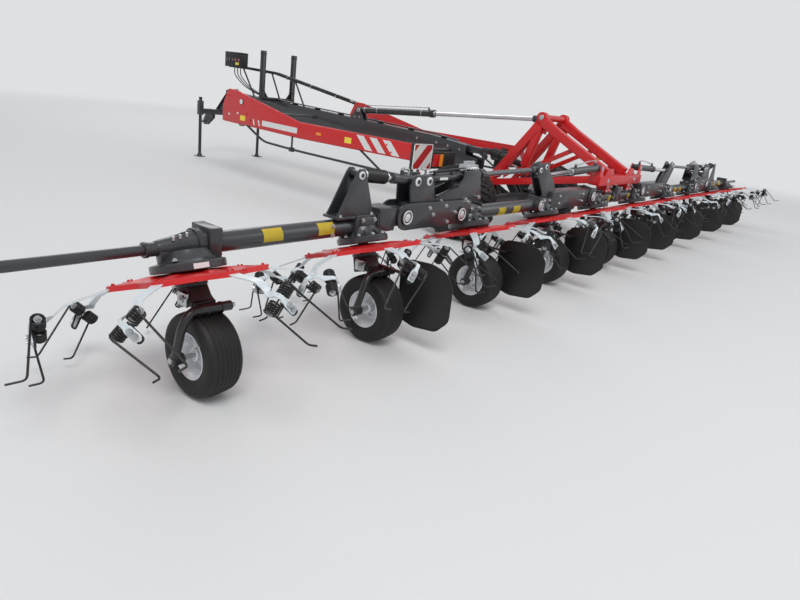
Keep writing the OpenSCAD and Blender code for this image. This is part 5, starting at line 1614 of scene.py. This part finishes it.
def build_stage():
    scene = bpy.context.scene
    p = scene.tedder_stage
    scene.view_settings.view_transform = "Standard"
    camera = bpy.data.cameras.new("camera")
    camera.sensor_width = 36.0
    camera.lens = p.lens
    view = bpy.data.objects.new("camera", camera)
    scene.collection.objects.link(view)
    right, up = Vector((0.6334, -0.7638, 0.1241)), Vector((0.1727, 0.2959, 0.9394))
    forward = Vector((0.7543, 0.5736, -0.3194))
    turn = Matrix((right, up, -forward)).transposed()
    view.matrix_world = Matrix.Translation(p.camera) @ turn.to_4x4()
    camera.clip_end = 200
    scene.camera = view

    # A pale floor that goes over into the pale background
    bm = bmesh.new()
    bmesh.ops.create_grid(bm, x_segments=2, y_segments=2, size=60)
    mesh = bpy.data.meshes.new("floor")
    bm.to_mesh(mesh)
    bm.free()
    floor = bpy.data.objects.new("floor", mesh)
    scene.collection.objects.link(floor)
    mat = bpy.data.materials.new("floor")
    mat.use_nodes = True
    tree = mat.node_tree
    shader = tree.nodes["Principled BSDF"]
    shader.inputs["Base Color"].default_value = (*p.floor, 1)
    shader.inputs["Roughness"].default_value = 0.85
    place = add_node(tree, "ShaderNodeTexCoord").outputs["Object"]
    reach = add_node(tree, "ShaderNodeVectorMath", {0: place}, operation="LENGTH").outputs["Value"]
    far = add_node(tree, "ShaderNodeMapRange", {"Value": reach, 1: p.fade_from, 2: p.fade_to, 3: 0.0, 4: 1.0},
                   interpolation_type="SMOOTHSTEP").outputs[0]
    seen = add_node(tree, "ShaderNodeLightPath").outputs["Is Camera Ray"]
    glow = add_node(tree, "ShaderNodeEmission", {"Color": (*p.background, 1), "Strength": 1.0})
    mixed = add_node(tree, "ShaderNodeMixShader",
                     {0: maths(tree, "MULTIPLY", far, seen), 1: shader.outputs[0], 2: glow.outputs[0]})
    tree.links.new(mixed.outputs[0], tree.nodes["Material Output"].inputs["Surface"])
    mesh.materials.append(mat)

    world = bpy.data.worlds.new("world")
    scene.world = world
    world.use_nodes = True
    tree = world.node_tree
    tree.nodes.clear()
    soft = add_node(tree, "ShaderNodeBackground", {"Color": (0.92, 0.95, 1.0, 1), "Strength": p.sky})
    pale = add_node(tree, "ShaderNodeBackground", {"Color": (*p.background, 1), "Strength": 1.0})
    path = add_node(tree, "ShaderNodeLightPath")
    seen = maths(tree, "MAXIMUM", path.outputs["Is Camera Ray"], path.outputs["Is Transmission Ray"])
    mixed = add_node(tree, "ShaderNodeMixShader", {0: seen, 1: soft.outputs[0], 2: pale.outputs[0]})
    out = add_node(tree, "ShaderNodeOutputWorld")
    tree.links.new(mixed.outputs[0], out.inputs[0])
    lamps = (("key_light", (-9, -9, 13), (0, -1.5, 0.5), 7.0, p.key),
             ("fill_light", (9, -12, 9), (0, -2, 0.5), 9.0, p.key * 0.35),
             ("rim_light", (4, 12, 10), (0, 0, 0.5), 8.0, p.key * 0.45))
    for name, place, aim, size, power in lamps:
        lamp = bpy.data.lights.new(name, "AREA")
        lamp.size = size
        lamp.energy = power
        obj = bpy.data.objects.new(name, lamp)
        facing = (Vector(place) - Vector(aim)).to_track_quat("Z", "Y")
        obj.matrix_world = Matrix.Translation(place) @ facing.to_matrix().to_4x4()
        scene.collection.objects.link(obj)


# Settings

class TedderSizes(bpy.types.PropertyGroup):
    """Sizes of repeated parts."""
    tine_wire: FloatProperty(name="Tine wire", description="Radius of the tine wire", default=WIRE_R,
                             unit="LENGTH")
    bolt_head: FloatProperty(name="Bolt head", description="Radius of the bolt heads on castings",
                             default=0.011, unit="LENGTH")
    groove_count: IntProperty(name="Grooves", description="Grooves round a rotor wheel's tyre", default=6,
                              min=2, max=10)


class TedderColours(bpy.types.PropertyGroup):
    """Colours of the main finishes."""
    red: FloatVectorProperty(name="Red", description="Red of the rotors, tower and guards", subtype="COLOR",
                             default=(0.66, 0.012, 0.014))
    grey: FloatVectorProperty(name="Grey", description="Dark grey of the beams and drawbar", subtype="COLOR",
                              default=(0.034, 0.036, 0.041))


class TedderStage(bpy.types.PropertyGroup):
    """Camera and light."""
    camera: FloatVectorProperty(name="Camera", description="Place of the camera", subtype="TRANSLATION",
                                unit="LENGTH", default=(-7.2426, -5.9767, 1.5526))
    lens: FloatProperty(name="Lens", description="Focal length in millimetres on a 36 mm sensor",
                        default=27.387)
    key: FloatProperty(name="Key light", description="Power of the key light in watts", default=1000.0)
    sky: FloatProperty(name="Sky light", description="Strength of the even light from all sides",
                       default=0.58)
    background: FloatVectorProperty(name="Background", description="Colour behind the machine",
                                    subtype="COLOR", default=(0.74, 0.75, 0.76))
    fade_from: FloatProperty(name="Fade from", description="Distance at which the floor starts to fade",
                             default=9.5, unit="LENGTH")
    fade_to: FloatProperty(name="Fade to", default=20.0, unit="LENGTH",
                           description="Distance at which the floor has the background's colour")
    floor: FloatVectorProperty(name="Floor", description="Colour of the floor", subtype="COLOR",
                               default=(0.74, 0.74, 0.73))


# Operators

class TEDDER_OT_rotors(bpy.types.Operator):
    """Discs, arms and tines of the ten rotors."""
    bl_idname = "tedder.rotors"
    bl_label = "Rotors"

    def execute(self, context):
        build_rotors()
        return {"FINISHED"}


class TEDDER_OT_rotor_wheels(bpy.types.Operator):
    """Tyres and rims under the rotors."""
    bl_idname = "tedder.rotor_wheels"
    bl_label = "Rotor wheels"

    def execute(self, context):
        build_rotor_wheels()
        return {"FINISHED"}


class TEDDER_OT_wheel_legs(bpy.types.Operator):
    """Arms that carry the rotor wheels, with their guards."""
    bl_idname = "tedder.wheel_legs"
    bl_label = "Wheel legs"

    def execute(self, context):
        build_wheel_legs()
        return {"FINISHED"}


class TEDDER_OT_beams(bpy.types.Operator):
    """Beam tubes, gearboxes, hinges and plates."""
    bl_idname = "tedder.beams"
    bl_label = "Beams"

    def execute(self, context):
        build_beams()
        return {"FINISHED"}


class TEDDER_OT_cylinders(bpy.types.Operator):
    """Wing, strut and lifting cylinders."""
    bl_idname = "tedder.cylinders"
    bl_label = "Cylinders"

    def execute(self, context):
        build_cylinders()
        return {"FINISHED"}


class TEDDER_OT_drive_shaft(bpy.types.Operator):
    """Guarded shaft with its tube."""
    bl_idname = "tedder.drive_shaft"
    bl_label = "Drive shaft"

    def execute(self, context):
        build_drive_shaft()
        return {"FINISHED"}


class TEDDER_OT_tower(bpy.types.Operator):
    """Cross box and lifting tower."""
    bl_idname = "tedder.tower"
    bl_label = "Tower"

    def execute(self, context):
        build_tower()
        return {"FINISHED"}


class TEDDER_OT_chassis(bpy.types.Operator):
    """Drawbar, axle, posts, guide and coupling box."""
    bl_idname = "tedder.chassis"
    bl_label = "Chassis"

    def execute(self, context):
        build_chassis()
        return {"FINISHED"}


class TEDDER_OT_side_guards(bpy.types.Operator):
    """Red guards with their films and rails."""
    bl_idname = "tedder.side_guards"
    bl_label = "Side guards"

    def execute(self, context):
        build_side_guards()
        return {"FINISHED"}


class TEDDER_OT_light_boards(bpy.types.Operator):
    """Striped boards and lamps."""
    bl_idname = "tedder.light_boards"
    bl_label = "Light boards"

    def execute(self, context):
        build_light_boards()
        return {"FINISHED"}


class TEDDER_OT_transport_wheels(bpy.types.Operator):
    """Wide tyres and their rims."""
    bl_idname = "tedder.transport_wheels"
    bl_label = "Transport wheels"

    def execute(self, context):
        build_transport_wheels()
        return {"FINISHED"}


class TEDDER_OT_headstock(bpy.types.Operator):
    """Headstock with its pins and stands."""
    bl_idname = "tedder.headstock"
    bl_label = "Headstock"

    def execute(self, context):
        build_headstock()
        return {"FINISHED"}


class TEDDER_OT_stage(bpy.types.Operator):
    """Camera, light and floor."""
    bl_idname = "tedder.stage"
    bl_label = "Stage"

    def execute(self, context):
        build_stage()
        return {"FINISHED"}


class TEDDER_PT_panel(bpy.types.Panel):
    """Lists the pieces and their settings."""
    bl_label = "Hay tedder"
    bl_idname = "TEDDER_PT_panel"
    bl_space_type = "VIEW_3D"
    bl_region_type = "UI"
    bl_category = "Tedder"

    def draw(self, context):
        layout = self.layout
        for group in (context.scene.tedder_sizes, context.scene.tedder_colours, context.scene.tedder_stage):
            for name in group.bl_rna.properties.keys():
                if name not in {"rna_type", "name"}:
                    layout.prop(group, name)
        for operator in OPERATORS:
            layout.operator(operator.bl_idname)


OPERATORS = (TEDDER_OT_rotors,
             TEDDER_OT_rotor_wheels,
             TEDDER_OT_wheel_legs,
             TEDDER_OT_beams,
             TEDDER_OT_cylinders,
             TEDDER_OT_drive_shaft,
             TEDDER_OT_tower,
             TEDDER_OT_chassis,
             TEDDER_OT_side_guards,
             TEDDER_OT_light_boards,
             TEDDER_OT_transport_wheels,
             TEDDER_OT_headstock,
             TEDDER_OT_stage)
SETTINGS = {"tedder_sizes": TedderSizes, "tedder_colours": TedderColours, "tedder_stage": TedderStage}


def register():
    for cls in (*SETTINGS.values(), *OPERATORS, TEDDER_PT_panel):
        bpy.utils.register_class(cls)
    for name, cls in SETTINGS.items():
        setattr(bpy.types.Scene, name, PointerProperty(type=cls))


def unregister():
    for name in SETTINGS:
        delattr(bpy.types.Scene, name)
    for cls in reversed((*SETTINGS.values(), *OPERATORS, TEDDER_PT_panel)):
        bpy.utils.unregister_class(cls)


def main():
    register()
    for operator in OPERATORS:
        getattr(bpy.ops.tedder, operator.bl_idname.split(".")[1])()
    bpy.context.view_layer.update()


if __name__ == "__main__":
    main()
